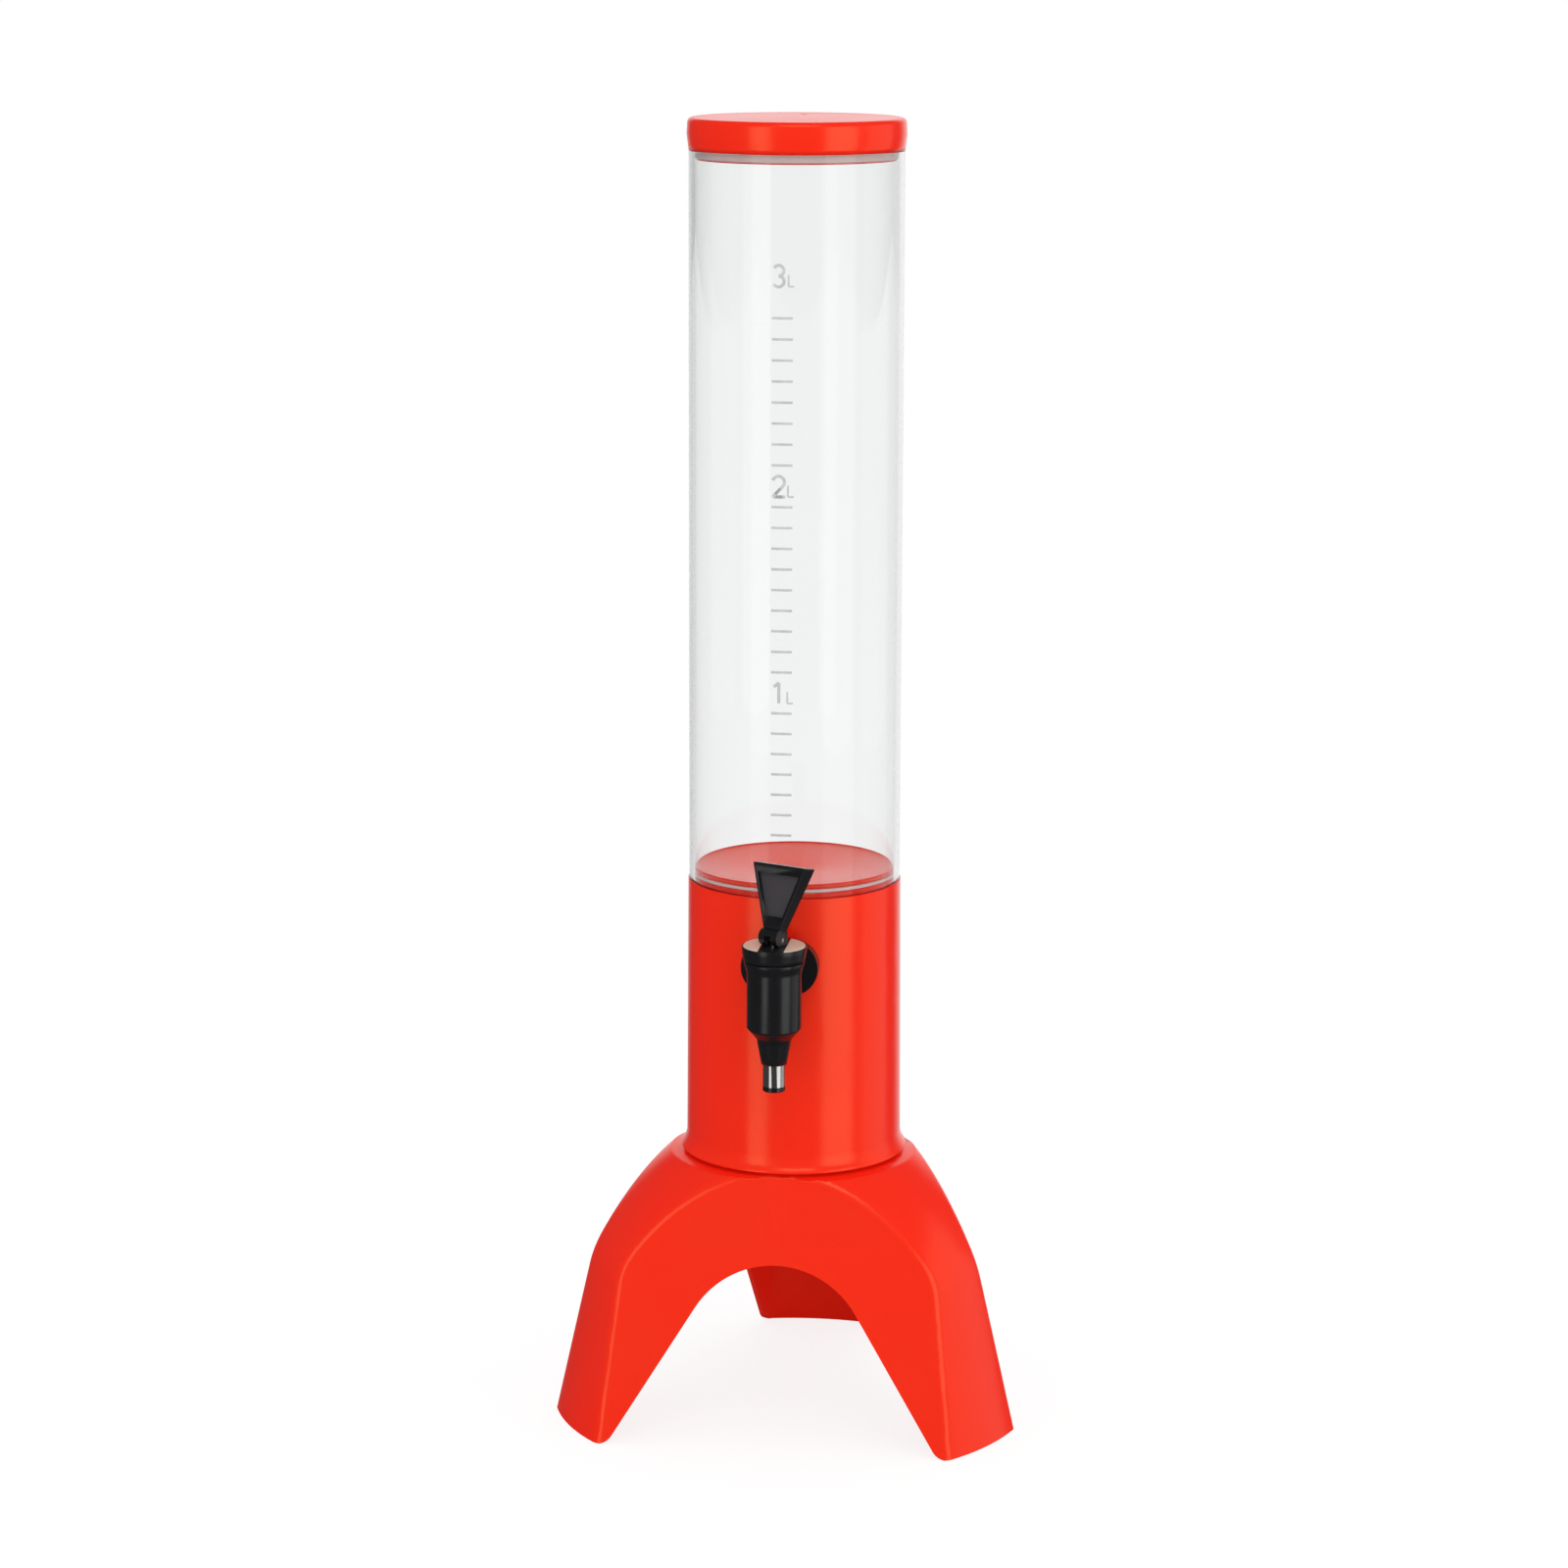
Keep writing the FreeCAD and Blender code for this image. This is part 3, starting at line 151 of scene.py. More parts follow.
@dataclass(frozen=True)
class Finish:
    """A finish that is one shader with a fine relief and a slow change of gloss.

    Attributes:
        name: the material's common name and how its surface was made.
        colour: sRGB hex of the material.
        shade: sRGB hex that the colour drifts towards in patches.
        roughness: mean roughness.
        gloss_drift: how far the roughness wanders from its mean, up and down.
        grain: size of the relief's waves, in millimetres.
        relief: height of the relief, in millimetres.
        patch: size of the patches of colour and gloss, in millimetres.
        metallic: 1 for a metal.
        ior: refractive index of a plastic's surface.
        stretch: how many times longer the relief's waves are along the three axes.
        gloss_tint: sRGB hex of the highlights seen straight on.
        gloss: strength of the highlights seen straight on, 0.5 for what the refractive index gives.
    """

    name: str
    colour: str
    shade: str
    roughness: float
    gloss_drift: float
    grain: float
    relief: float
    patch: float
    metallic: float = 0.0
    ior: float = 1.5
    stretch: tuple[float, float, float] = (1.0, 1.0, 1.0)
    gloss_tint: str = "#FFFFFF"
    gloss: float = 0.5

    def pattern(self, tree: bpy.types.NodeTree, size: float, stretched: bool) -> bpy.types.NodeSocket:
        """Noise whose waves are a real size across.

        Args:
            tree: the node tree.
            size: wave length in millimetres.
            stretched: whether the waves are drawn out along the axes.

        Returns:
            The noise's value socket.
        """
        place = add_node(tree, "ShaderNodeTexCoord").outputs["Object"]
        spread = self.stretch if stretched else (1.0, 1.0, 1.0)
        scale = tuple(1.0 / (size * MM * along) for along in spread)
        mapped = add_node(tree, "ShaderNodeMapping", {"Scale": scale}, {"Vector": place})
        noise = add_node(tree, "ShaderNodeTexNoise", {"Scale": 1.0, "Detail": 3.0},
                         {"Vector": mapped.outputs["Vector"]})
        return noise.outputs["Fac"]

    def shader(self, tree: bpy.types.NodeTree) -> bpy.types.Node:
        """Build the finish's shader with its colour, gloss and relief.

        Args:
            tree: the node tree.

        Returns:
            The shader node.
        """
        patches = self.pattern(tree, self.patch, False)
        tint = add_node(tree, "ShaderNodeMix",
                        {"data_type": "RGBA", 6: linear(self.colour), 7: linear(self.shade)}, {0: patches})
        gloss = add_node(tree, "ShaderNodeMapRange", {
            "From Min": PATCH_SPAN[0], "From Max": PATCH_SPAN[1],
            "To Min": self.roughness - self.gloss_drift,
            "To Max": self.roughness + self.gloss_drift}, {"Value": patches})
        bump = add_node(tree, "ShaderNodeBump", {"Strength": 1.0, "Distance": self.relief * MM},
                        {"Height": self.pattern(tree, self.grain, True)})
        settings = {"Metallic": self.metallic, "Specular Tint": linear(self.gloss_tint),
                    "Specular IOR Level": self.gloss}
        if self.metallic == 0.0:
            settings["IOR"] = self.ior
        return add_node(tree, "ShaderNodeBsdfPrincipled", settings, {
            "Base Color": tint.outputs[2], "Roughness": gloss.outputs["Result"],
            "Normal": bump.outputs["Normal"]})

    def material(self) -> bpy.types.Material:
        """Make the finish's material."""
        material, tree = fresh_tree(self.name)
        add_node(tree, "ShaderNodeOutputMaterial", links={"Surface": self.shader(tree).outputs["BSDF"]})
        return material


@dataclass(frozen=True)
class ClearFinish(Finish):
    """A clear finish that lets the lamps reach what stands behind it.

    Attributes:
        transmission: share of the light that passes.
        shadow: share of a lamp's light that passes on its way to what stands behind.
    """

    transmission: float = 1.0
    shadow: float = 0.92

    def material(self) -> bpy.types.Material:
        """Make the clear material, with a plain filter in its place for rays to the lamps."""
        material, tree = fresh_tree(self.name)
        shader = self.shader(tree)
        shader.inputs["Transmission Weight"].default_value = self.transmission
        filtered = add_node(tree, "ShaderNodeBsdfTransparent", {
            "Color": (self.shadow, self.shadow, self.shadow, 1.0)})
        path = add_node(tree, "ShaderNodeLightPath")
        mixed = add_node(tree, "ShaderNodeMixShader", links={
            0: path.outputs["Is Shadow Ray"], 1: shader.outputs["BSDF"], 2: filtered.outputs["BSDF"]})
        add_node(tree, "ShaderNodeOutputMaterial", links={"Surface": mixed.outputs["Shader"]})
        return material


# Injection-moulded ABS: a hard, glossy plastic whose skin has a faint orange peel, so highlights are soft-edged;
# the pigment lies just under the skin and warms them
RED_ABS = Finish("red_abs_moulded", "#F7220E", "#F21E0C", 0.22, 0.03, 2.5, 0.003, 60.0, ior=1.53,
                 gloss_tint="#FFDC9E", gloss=0.75)
# The same plastic in black: almost no colour of its own, so it is read by its highlights
BLACK_ABS = Finish("black_abs_moulded", "#121214", "#161619", 0.26, 0.04, 1.6, 0.003, 20.0, ior=1.53)
# Fine-sparked ABS panel: matt charcoal with a tight grain
CHARCOAL_ABS = Finish("charcoal_abs_sparked", "#39343A", "#3D383D", 0.48, 0.04, 0.5, 0.02, 15.0, ior=1.53)
# Acetal, turned: a waxy pale bearing plastic with a soft sheen
PALE_ACETAL = Finish("pale_acetal_turned", "#D9BFAE", "#CFB19E", 0.42, 0.04, 0.6, 0.01, 12.0, ior=1.48)
# Stainless steel, polished on a lathe: a near mirror with rings of fine lines round it
POLISHED_STEEL = Finish("stainless_steel_polished", "#D3D0CE", "#C9C6C4", 0.14, 0.03, 0.3, 0.002, 8.0,
                        metallic=1.0, stretch=(6.0, 6.0, 1.0))
# Stainless steel as drawn or pressed: grey with a satin brush
SATIN_STEEL = Finish("stainless_steel_satin", "#C9C8C8", "#B9B8B8", 0.30, 0.05, 0.4, 0.004, 8.0,
                     metallic=1.0, stretch=(8.0, 1.0, 1.0))
# Bright zinc plate on a steel screw: bluish grey with cloudy patches
ZINC_PLATE = Finish("zinc_plate_bright", "#BFC4CB", "#AEB4BE", 0.32, 0.07, 0.8, 0.004, 3.0, metallic=1.0)
# Nitrile rubber, moulded: dull black
NITRILE = Finish("nitrile_rubber_moulded", "#181818", "#1E1E1E", 0.62, 0.05, 0.5, 0.01, 6.0, ior=1.52)
# Acrylic, extruded: clear, with faint draw lines along the tube
CLEAR_ACRYLIC = ClearFinish("clear_acrylic_extruded", "#FAFAFA", "#F8F9F9", 0.02, 0.01, 9.0, 0.0005, 90.0,
                            ior=1.49, stretch=(1.0, 1.0, 60.0), gloss_tint="#9C9C9C")
# Silicone rubber, moulded: milky and see-through
MILKY_SILICONE = ClearFinish("silicone_rubber_moulded", "#FBE8E4", "#F8E0DB", 0.35, 0.05, 1.0, 0.01, 10.0,
                             ior=1.41, transmission=0.35)
# Pad-printed ink: a thin pale grey film with worn, uneven cover
PRINT_INK = Finish("grey_ink_printed", "#ABABAD", "#D2D2D4", 0.55, 0.05, 0.4, 0.004, 5.0, ior=1.5)


class Finishes:
    """Makes each finish's material once and hands it out again."""

    def __init__(self) -> None:
        """Start with no material made."""
        self.made: dict[str, bpy.types.Material] = {}

    def get(self, finish: Finish) -> bpy.types.Material:
        """Give the material of a finish.

        Args:
            finish: the finish wanted.

        Returns:
            Its material, made on the first call.
        """
        if finish.name not in self.made:
            self.made[finish.name] = finish.material()
        return self.made[finish.name]


@dataclass
class Skin:
    """Vertices in millimetres and the faces that join them.

    Attributes:
        points: an array of vertices by 3.
        faces: lists of vertex numbers.
    """

    points: np.ndarray
    faces: list[list[int]]

    def joined(self, other: Skin) -> Skin:
        """This skin and another as one, with the other's faces counted on from this one's vertices."""
        moved = [[index + len(self.points) for index in face] for face in other.faces]
        return Skin(np.vstack([self.points, other.points]), self.faces + moved)


@dataclass(frozen=True)
class Corner:
    """A corner of a turned outline.

    Attributes:
        reach: distance from the axis, in millimetres.
        along: place along the axis, in millimetres.
        rounding: radius that the corner is rounded to, in millimetres.
    """

    reach: float
    along: float
    rounding: float


def rounded_outline(corners: list[Corner]) -> np.ndarray:
    """Round each corner of a closed outline with an arc that touches both of its sides.

    With u and v the unit directions to the neighbours and t the angle between them, an arc of radius r starts
    r / tan(t / 2) from the corner and is centred r / sin(t / 2) along the bisector. The radius is cut to what
    half of the shorter side can hold.

    Args:
        corners: the corners in order.

    Returns:
        An array of points by reach and height.
    """
    spots = np.array([[corner.reach, corner.along] for corner in corners])
    radii = np.array([corner.rounding for corner in corners])
    before = np.roll(spots, 1, axis=0) - spots
    after = np.roll(spots, -1, axis=0) - spots
    long_before = np.linalg.norm(before, axis=1)
    long_after = np.linalg.norm(after, axis=1)
    u = before / long_before[:, None]
    v = after / long_after[:, None]
    half = 0.5 * np.arccos(np.clip((u * v).sum(axis=1), -STRAIGHT, STRAIGHT))
    room = ROUND_ROOM * np.minimum(long_before, long_after)
    radii = np.minimum(radii, room * np.tan(half))
    bisector = u + v
    bisector /= np.linalg.norm(bisector, axis=1)[:, None]
    centre = spots + bisector * (radii / np.sin(half))[:, None]
    start = spots + u * (radii / np.tan(half))[:, None] - centre
    finish = spots + v * (radii / np.tan(half))[:, None] - centre
    share = np.linspace(0.0, 1.0, ROUND_STEPS + 1)[None, :, None]
    sweep = math.pi - 2.0 * half
    weight_start = np.sin((1.0 - share) * sweep[:, None, None])
    weight_finish = np.sin(share * sweep[:, None, None])
    arcs = weight_start * start[:, None, :] + weight_finish * finish[:, None, :]
    arcs = arcs / np.sin(sweep)[:, None, None] + centre[:, None, :]
    return arcs.reshape(-1, 2)


def turned(corners: list[Corner], sides: int) -> Skin:
    """Turn a closed outline about the upright axis.

    The point at outline place p and turn a is (reach(p) sin a, -reach(p) cos a, along(p)).

    Args:
        corners: the outline's corners, clear of the axis.
        sides: spans round the axis.

    Returns:
        A closed ring-shaped skin.
    """
    outline = rounded_outline(corners)
    angle = np.linspace(0.0, TURN, sides, endpoint=False)
    reach = outline[:, 0][None, :]
    along = np.broadcast_to(outline[:, 1][None, :], (sides, len(outline)))
    across = reach * np.sin(angle)[:, None]
    ahead = -reach * np.cos(angle)[:, None]
    points = np.stack([across, ahead, along], axis=-1)
    return Skin(points.reshape(-1, 3), wrapped_quads(sides, len(outline)))


def wrapped_quads(rows: int, columns: int) -> list[list[int]]:
    """Quads of a grid that closes on itself both ways, counted row by row."""
    row, column = np.meshgrid(np.arange(rows), np.arange(columns), indexing="ij")
    next_row = (row + 1) % rows
    next_column = (column + 1) % columns
    quads = np.stack([row * columns + column, next_row * columns + column,
                      next_row * columns + next_column, row * columns + next_column], axis=-1)
    return quads.reshape(-1, 4).tolist()


def capped_sleeve(rings: np.ndarray) -> Skin:
    """Join rings of points into a closed skin, with one flat face at each end.

    Args:
        rings: an array of rings by points by 3.

    Returns:
        The closed skin.
    """
    rows, sides = rings.shape[:2]
    row, side = np.meshgrid(np.arange(rows - 1), np.arange(sides), indexing="ij")
    beside = (side + 1) % sides
    quads = np.stack([row * sides + side, (row + 1) * sides + side, (row + 1) * sides + beside,
                      row * sides + beside], axis=-1).reshape(-1, 4).tolist()
    last = (rows - 1) * sides
    caps = [list(range(sides)), list(range(last + sides - 1, last - 1, -1))]
    return Skin(rings.reshape(-1, 3), quads + caps)


def smooth_mesh(mesh: bpy.types.Mesh, weld: float, sharp: float, outward: bool) -> None:
    """Merge a mesh's doubled vertices and smooth it.

    Args:
        mesh: the mesh, in metres.
        weld: distance in millimetres below which two vertices are one.
        sharp: angle in degrees above which an edge stays sharp.
        outward: whether its faces are turned outward.
    """
    work = bmesh.new()
    work.from_mesh(mesh)
    bmesh.ops.remove_doubles(work, verts=work.verts, dist=weld * MM)
    if outward:
        bmesh.ops.recalc_face_normals(work, faces=work.faces)
    work.to_mesh(mesh)
    work.free()
    mesh.shade_smooth()
    mesh.set_sharp_from_angle(angle=math.radians(sharp))


def place_piece(name: str, mesh: bpy.types.Mesh, material: bpy.types.Material, body: str,
                nodes: tuple[str, ...]) -> bpy.types.Object:
    """Link a finished mesh as a piece that rides on a body and stands for nodes of the frame.

    Its shading follows the larger faces, so that a narrow round doesn't bend the look of the wall beside it.

    Args:
        name: the piece's name.
        mesh: its mesh, in metres, in the frame.
        material: its finish.
        body: the body that it rides on.
        nodes: the nodes that it stands for.

    Returns:
        The new object.
    """
    piece = bpy.data.objects.new(name, mesh)
    mesh.materials.clear()
    mesh.materials.append(material)
    bpy.context.scene.collection.objects.link(piece)
    weighted = piece.modifiers.new("even_shading", "WEIGHTED_NORMAL")
    weighted.keep_sharp = True
    weighted.weight = FACE_WEIGHT
    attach(piece, body)
    if nodes:
        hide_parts(*nodes)
    LOG.info("%s: %d faces, on %s", name, len(mesh.polygons), body)
    return piece


def skin_piece(name: str, skin: Skin, material: bpy.types.Material, body: str,
               nodes: tuple[str, ...] = ()) -> bpy.types.Object:
    """Make a piece from a skin; the other arguments are those of place_piece."""
    mesh = bpy.data.meshes.new(name)
    mesh.from_pydata((skin.points * MM).tolist(), [], skin.faces)
    smooth_mesh(mesh, SKIN_WELD, SKIN_SHARP, outward=True)
    return place_piece(name, mesh, material, body, nodes)


def copied_piece(name: str, node: str, material: bpy.types.Material, body: str,
                 frame: dict) -> bpy.types.Object:
    """Make a piece from a merged copy of a node's mesh.

    Args:
        name: the piece's name.
        node: the node that is copied and stood for.
        material: its finish.
        body: the body that it rides on.
        frame: the loaded frame.

    Returns:
        The new object.
    """
    mesh = frame["nodes"][node].data.copy()
    mesh.name = name
    smooth_mesh(mesh, COPY_WELD, COPY_SHARP, outward=False)
    return place_piece(name, mesh, material, body, (node,))


def dress_node(frame: dict, node: str, material: bpy.types.Material) -> None:
    """Give a node of the frame its finish and leave its mesh alone."""
    mesh = frame["nodes"][node].data
    mesh.materials.clear()
    mesh.materials.append(material)
    LOG.info("%s: dressed as packed", node)


@dataclass
class TripodBase:
    """The red one-piece base and the screws that hold the column on it."""

    body: str = "tower"

    def build(self, frame: dict, finishes: Finishes) -> None:
        """Make the base's skin and dress its screws."""
        copied_piece("tripod_base_skin", "tripod_base", finishes.get(RED_ABS), self.body, frame)
        dress_node(frame, "base_screws", finishes.get(ZINC_PLATE))


@dataclass
class Column:
    """The red column with its flared foot, funnel floor and spigot, and the seal on the spigot."""

    body: str = "tower"

    def build(self, frame: dict, finishes: Finishes) -> None:
        """Make the column's skin and its seal's."""
        copied_piece("column_skin", "column", finishes.get(RED_ABS), self.body, frame)
        copied_piece("tube_seal_skin", "tube_seal", finishes.get(MILKY_SILICONE), self.body,
                     frame)


class Glyph(Enum):
    """The figures of the scale, as strokes in a box one unit high."""

    ONE = "1"
    TWO = "2"
    THREE = "3"
    LITRE = "L"

    def strokes(self) -> list[np.ndarray]:
        """The glyph's strokes, each an array of points by across and up.

        A bow of centre c and radius r has points c + r (cos a, sin a) for angles a between its two ends.
        """
        def bow(across: float, up: float, radius: float, start: float, end: float) -> np.ndarray:
            """Points on an arc between two angles in degrees."""
            angle = np.radians(np.linspace(start, end, 13))
            return np.stack([across + radius * np.cos(angle), up + radius * np.sin(angle)], axis=-1)

        if self is Glyph.ONE:
            return [np.array([[0.14, 0.78], [0.38, 1.0]]), np.array([[0.38, 1.0], [0.38, 0.0]])]
        if self is Glyph.TWO:
            return [np.vstack([bow(0.34, 0.70, 0.28, 165.0, -38.0), [[0.06, 0.0]]]),
                    np.array([[0.04, 0.0], [0.66, 0.0]])]
        if self is Glyph.THREE:
            return [bow(0.32, 0.74, 0.25, 150.0, -90.0), bow(0.32, 0.24, 0.26, 90.0, -150.0)]
        return [np.array([[0.05, 1.0], [0.05, 0.0]]), np.array([[0.05, 0.0], [0.55, 0.0]])]


@dataclass
class ClearTube:
    """The clear tube and the litre scale printed on it, in millimetres.

    Attributes:
        radius: outer radius of the tube.
        wall: wall of the tube.
        rim_round: round on the tube's sawn edges.
        litre: height of one litre in the tube.
        zero: height of the scale's zero.
        lowest: the lowest mark, in tenths of a litre.
        tick_width: length of a mark round the tube.
        tick_height: height of a mark.
        figure_height: height of a figure.
        pen: width of a figure's strokes.
        film: thickness of the ink, above the wall and sunk in it.
        highest: the highest mark, in tenths of a litre.
        tick_points: points along a mark.
        letter_size: height of the small L, as a share of a figure's.
        letter_place: place of the small L, as a share of a mark's length from its middle.
        sides: spans round the tube.
    """

    radius: float = 57.0
    wall: float = 3.0
    rim_round: float = 0.5
    litre: float = 109.16
    zero: float = 297.5
    lowest: int = 3
    tick_width: float = 11.0
    tick_height: float = 1.3
    figure_height: float = 11.0
    pen: float = 1.7
    film: float = 0.06
    highest: int = 28
    tick_points: int = 9
    letter_size: float = 0.55
    letter_place: float = 0.26
    sides: int = 256
    body: str = "tower"

    def tube(self) -> Skin:
        """The tube as a ring of four rounded corners, from the frame's heights."""
        low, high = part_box("clear_tube")
        foot, rim = low.z / MM, high.z / MM
        bore = self.radius - self.wall
        return turned([Corner(self.radius, foot, self.rim_round), Corner(self.radius, rim, self.rim_round),
                       Corner(bore, rim, self.rim_round), Corner(bore, foot, self.rim_round)], self.sides)

    def stroke(self, path: np.ndarray, pen: float) -> Skin:
        """A thin curved band of ink on the tube's front.

        A path runs in the tube's unrolled surface, by u round it from its front line and v up it. Each side of
        the band lies half a pen's width from the path, across its direction. The point at u, v and reach d is
        (d sin(u / R), -d cos(u / R), v), with R the tube's radius and d a film's thickness more or less than R.

        Args:
            path: points by u and v.
            pen: the band's width.

        Returns:
            The band as a closed skin.
        """
        steps = np.gradient(path, axis=0)
        steps /= np.linalg.norm(steps, axis=1)[:, None]
        aside = np.stack([-steps[:, 1], steps[:, 0]], axis=-1) * pen / 2
        edges = np.stack([path + aside, path - aside, path - aside, path + aside], axis=1)
        reach = np.array([self.radius + self.film] * 2 + [self.radius - self.film] * 2)[None, :]
        angle = edges[..., 0] / self.radius
        points = np.stack([reach * np.sin(angle), -reach * np.cos(angle), edges[..., 1]], axis=-1)
        return capped_sleeve(points)

    def figure(self, glyph: Glyph, height: float, left: float, foot: float) -> list[Skin]:
        """The strokes of a figure, from its left edge and its foot."""
        return [self.stroke(path * height + np.array([left, foot]), self.pen * height / self.figure_height)
                for path in glyph.strokes()]

    def scale(self) -> Skin:
        """A mark every tenth of a litre, and at each whole litre its number with a small L."""
        marks: list[Skin] = []
        across = np.linspace(-self.tick_width / 2, self.tick_width / 2, self.tick_points)
        for tenth in range(self.lowest, self.highest + 1):
            level = self.zero + self.litre * tenth / 10.0
            if tenth % 10:
                path = np.stack([across, np.full(self.tick_points, level)], axis=-1)
                marks.append(self.stroke(path, self.tick_height))
        for litres, glyph in enumerate((Glyph.ONE, Glyph.TWO, Glyph.THREE), start=1):
            foot = self.zero + self.litre * litres - self.figure_height / 2
            marks += self.figure(glyph, self.figure_height, -self.tick_width / 2, foot)
            marks += self.figure(Glyph.LITRE, self.figure_height * self.letter_size,
                                 self.tick_width * self.letter_place, foot)
        whole = marks[0]
        for mark in marks[1:]:
            whole = whole.joined(mark)
        return whole

    def build(self, frame: dict, finishes: Finishes) -> None:
        """Make the tube and its printed scale."""
        skin_piece("clear_tube_skin", self.tube(), finishes.get(CLEAR_ACRYLIC), self.body,
                   ("clear_tube",))
        skin_piece("litre_scale", self.scale(), finishes.get(PRINT_INK), self.body)


@dataclass
class Lid:
    """The red lid and its sealing ring."""

    body: str = "cover"

    def build(self, frame: dict, finishes: Finishes) -> None:
        """Make the lid's skin and its seal's."""
        copied_piece("lid_skin", "lid", finishes.get(RED_ABS), self.body, frame)
        copied_piece("lid_seal_skin", "lid_seal", finishes.get(MILKY_SILICONE), self.body, frame)


@dataclass
class ClosingSpring:
    """The coil spring in the tap, which shortens as the stem lifts, in millimetres.

    Attributes:
        radius: mean radius of the coil.
        wire: radius of the wire.
        turns: turns of the coil.
        travel: how far the stem lifts the coil's foot; not used.
        turn_steps: spans along one turn.
        wire_sides: spans round the wire.
    """

    radius: float = 5.0
    wire: float = 0.6
    turns: float = 7.0
    travel: float = 3.0
    turn_steps: int = 36
    wire_sides: int = 12
    body: str = "tower"

    def coil(self, centre: np.ndarray, foot: float, head: float) -> Skin:
        """A round wire carried along a helix.

        With a the angle along the helix, its path is centre + (R cos a, R sin a) and climbs evenly from the foot
        to the head. The wire's circle stands on the path's own outward and upward directions.

        Args:
            centre: the coil's axis in plan.
            foot: lowest point of the wire's middle.
            head: highest point of the wire's middle.

        Returns:
            The coil as a closed skin.
        """
        rows = int(self.turns * self.turn_steps) + 1
        angle = np.linspace(0.0, self.turns * TURN, rows)
        outward = np.stack([np.cos(angle), np.sin(angle), np.zeros(rows)], axis=-1)
        climb = (head - foot) / (self.turns * TURN)
        along = np.stack([-self.radius * np.sin(angle), self.radius * np.cos(angle), np.full(rows, climb)], axis=-1)
        along /= np.linalg.norm(along, axis=1)[:, None]
        upward = np.cross(outward, along)
        path = outward * self.radius + np.array([centre[0], centre[1], foot])
        path[:, 2] += climb * angle
        turn = np.linspace(0.0, TURN, self.wire_sides, endpoint=False)[None, :, None]
        points = path[:, None, :] + self.wire * (np.cos(turn) * outward[:, None, :]
                                                 + np.sin(turn) * upward[:, None, :])
        return capped_sleeve(points)

    def build(self, frame: dict, finishes: Finishes) -> None:
        """Make the coil where the frame has it and give it a mesh of its own."""
        low, high = (np.array(corner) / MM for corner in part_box("valve_spring"))
        skin = self.coil((low + high)[:2] / 2, low[2] + self.wire, high[2] - self.wire)
        coil = skin_piece("valve_spring_skin", skin, finishes.get(SATIN_STEEL), self.body,
                          ("valve_spring",))
        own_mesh(coil)


@dataclass
class DispenseTap:
    """The black lever tap with its saddle, spout and inner valve."""

    body: str = "tower"

    def build(self, frame: dict, finishes: Finishes) -> None:
        """Make the tap's outer skins and dress what is inside it."""
        black = finishes.get(BLACK_ABS)
        for node in ("tap_body", "bonnet", "tap_saddle", "spout_tip"):
            copied_piece(node + "_skin", node, black, self.body, frame)
        copied_piece("cam_plate_skin", "cam_plate", finishes.get(PALE_ACETAL), self.body, frame)
        copied_piece("nozzle_sleeve_skin", "nozzle_sleeve", finishes.get(POLISHED_STEEL), self.body,
                     frame)
        copied_piece("tap_handle_skin", "tap_handle", black, "handle", frame)
        copied_piece("handle_inlay_skin", "handle_inlay", finishes.get(CHARCOAL_ABS), "handle",
                     frame)
        for node in ("inner_saddle", "shank_nut"):
            dress_node(frame, node, black)
        for node in ("valve_stem", "handle_pin", "spring_collar", "hose_clamps"):
            dress_node(frame, node, finishes.get(SATIN_STEEL))
        for node in ("hose", "valve_plug"):
            dress_node(frame, node, finishes.get(MILKY_SILICONE))
        for node in ("stem_seal", "bonnet_seal"):
            dress_node(frame, node, finishes.get(NITRILE))


@dataclass(frozen=True)
class Softbox:
    """A soft light that stands round the object and faces its axis.

    Attributes:
        name: the light's name.
        azimuth: degrees from -Y towards +X.
        distance: metres from the axis.
        height: metres above the floor.
        size: width and height in metres.
        power: watts.
        aim: height in metres of the point that it faces.
    """

    name: str
    azimuth: float
    distance: float
    height: float
    size: tuple[float, float]
    power: float
    aim: float = 0.36

    def build(self) -> None:
        """Stand the light in its place."""
        data = bpy.data.lights.new(self.name, "AREA")
        data.shape = "RECTANGLE"
        data.size, data.size_y = self.size
        data.energy = self.power
        light = bpy.data.objects.new(self.name, data)
        angle = math.radians(self.azimuth)
        place = Vector((self.distance * math.sin(angle), -self.distance * math.cos(angle), self.height))
        aim = Vector((0.0, 0.0, self.aim)) - place
        light.matrix_world = Matrix.Translation(place) @ aim.to_track_quat("-Z", "Y").to_matrix().to_4x4()
        bpy.context.scene.collection.objects.link(light)


SOFTBOXES = (
    Softbox("right_softbox", 55.0, 1.9, 0.35, (1.2, 1.9), 8.8),
    Softbox("far_right_softbox", 104.0, 1.9, 0.35, (1.4, 1.9), 3.8),
    Softbox("left_softbox", -31.0, 1.9, 0.35, (0.7, 1.9), 5.0),
    Softbox("top_softbox", 10.0, 1.6, 2.2, (1.4, 1.0), 7.0),
)


def ramp(tree: bpy.types.NodeTree, span: tuple[float, float], ends: tuple[float, float],
         value: bpy.types.NodeSocket) -> bpy.types.NodeSocket:
    """Run from one end to the other as a socket's value crosses a span."""
    node = add_node(tree, "ShaderNodeMapRange", {
        "From Min": span[0], "From Max": span[1], "To Min": ends[0], "To Max": ends[1]}, {"Value": value})
    return node.outputs["Result"]


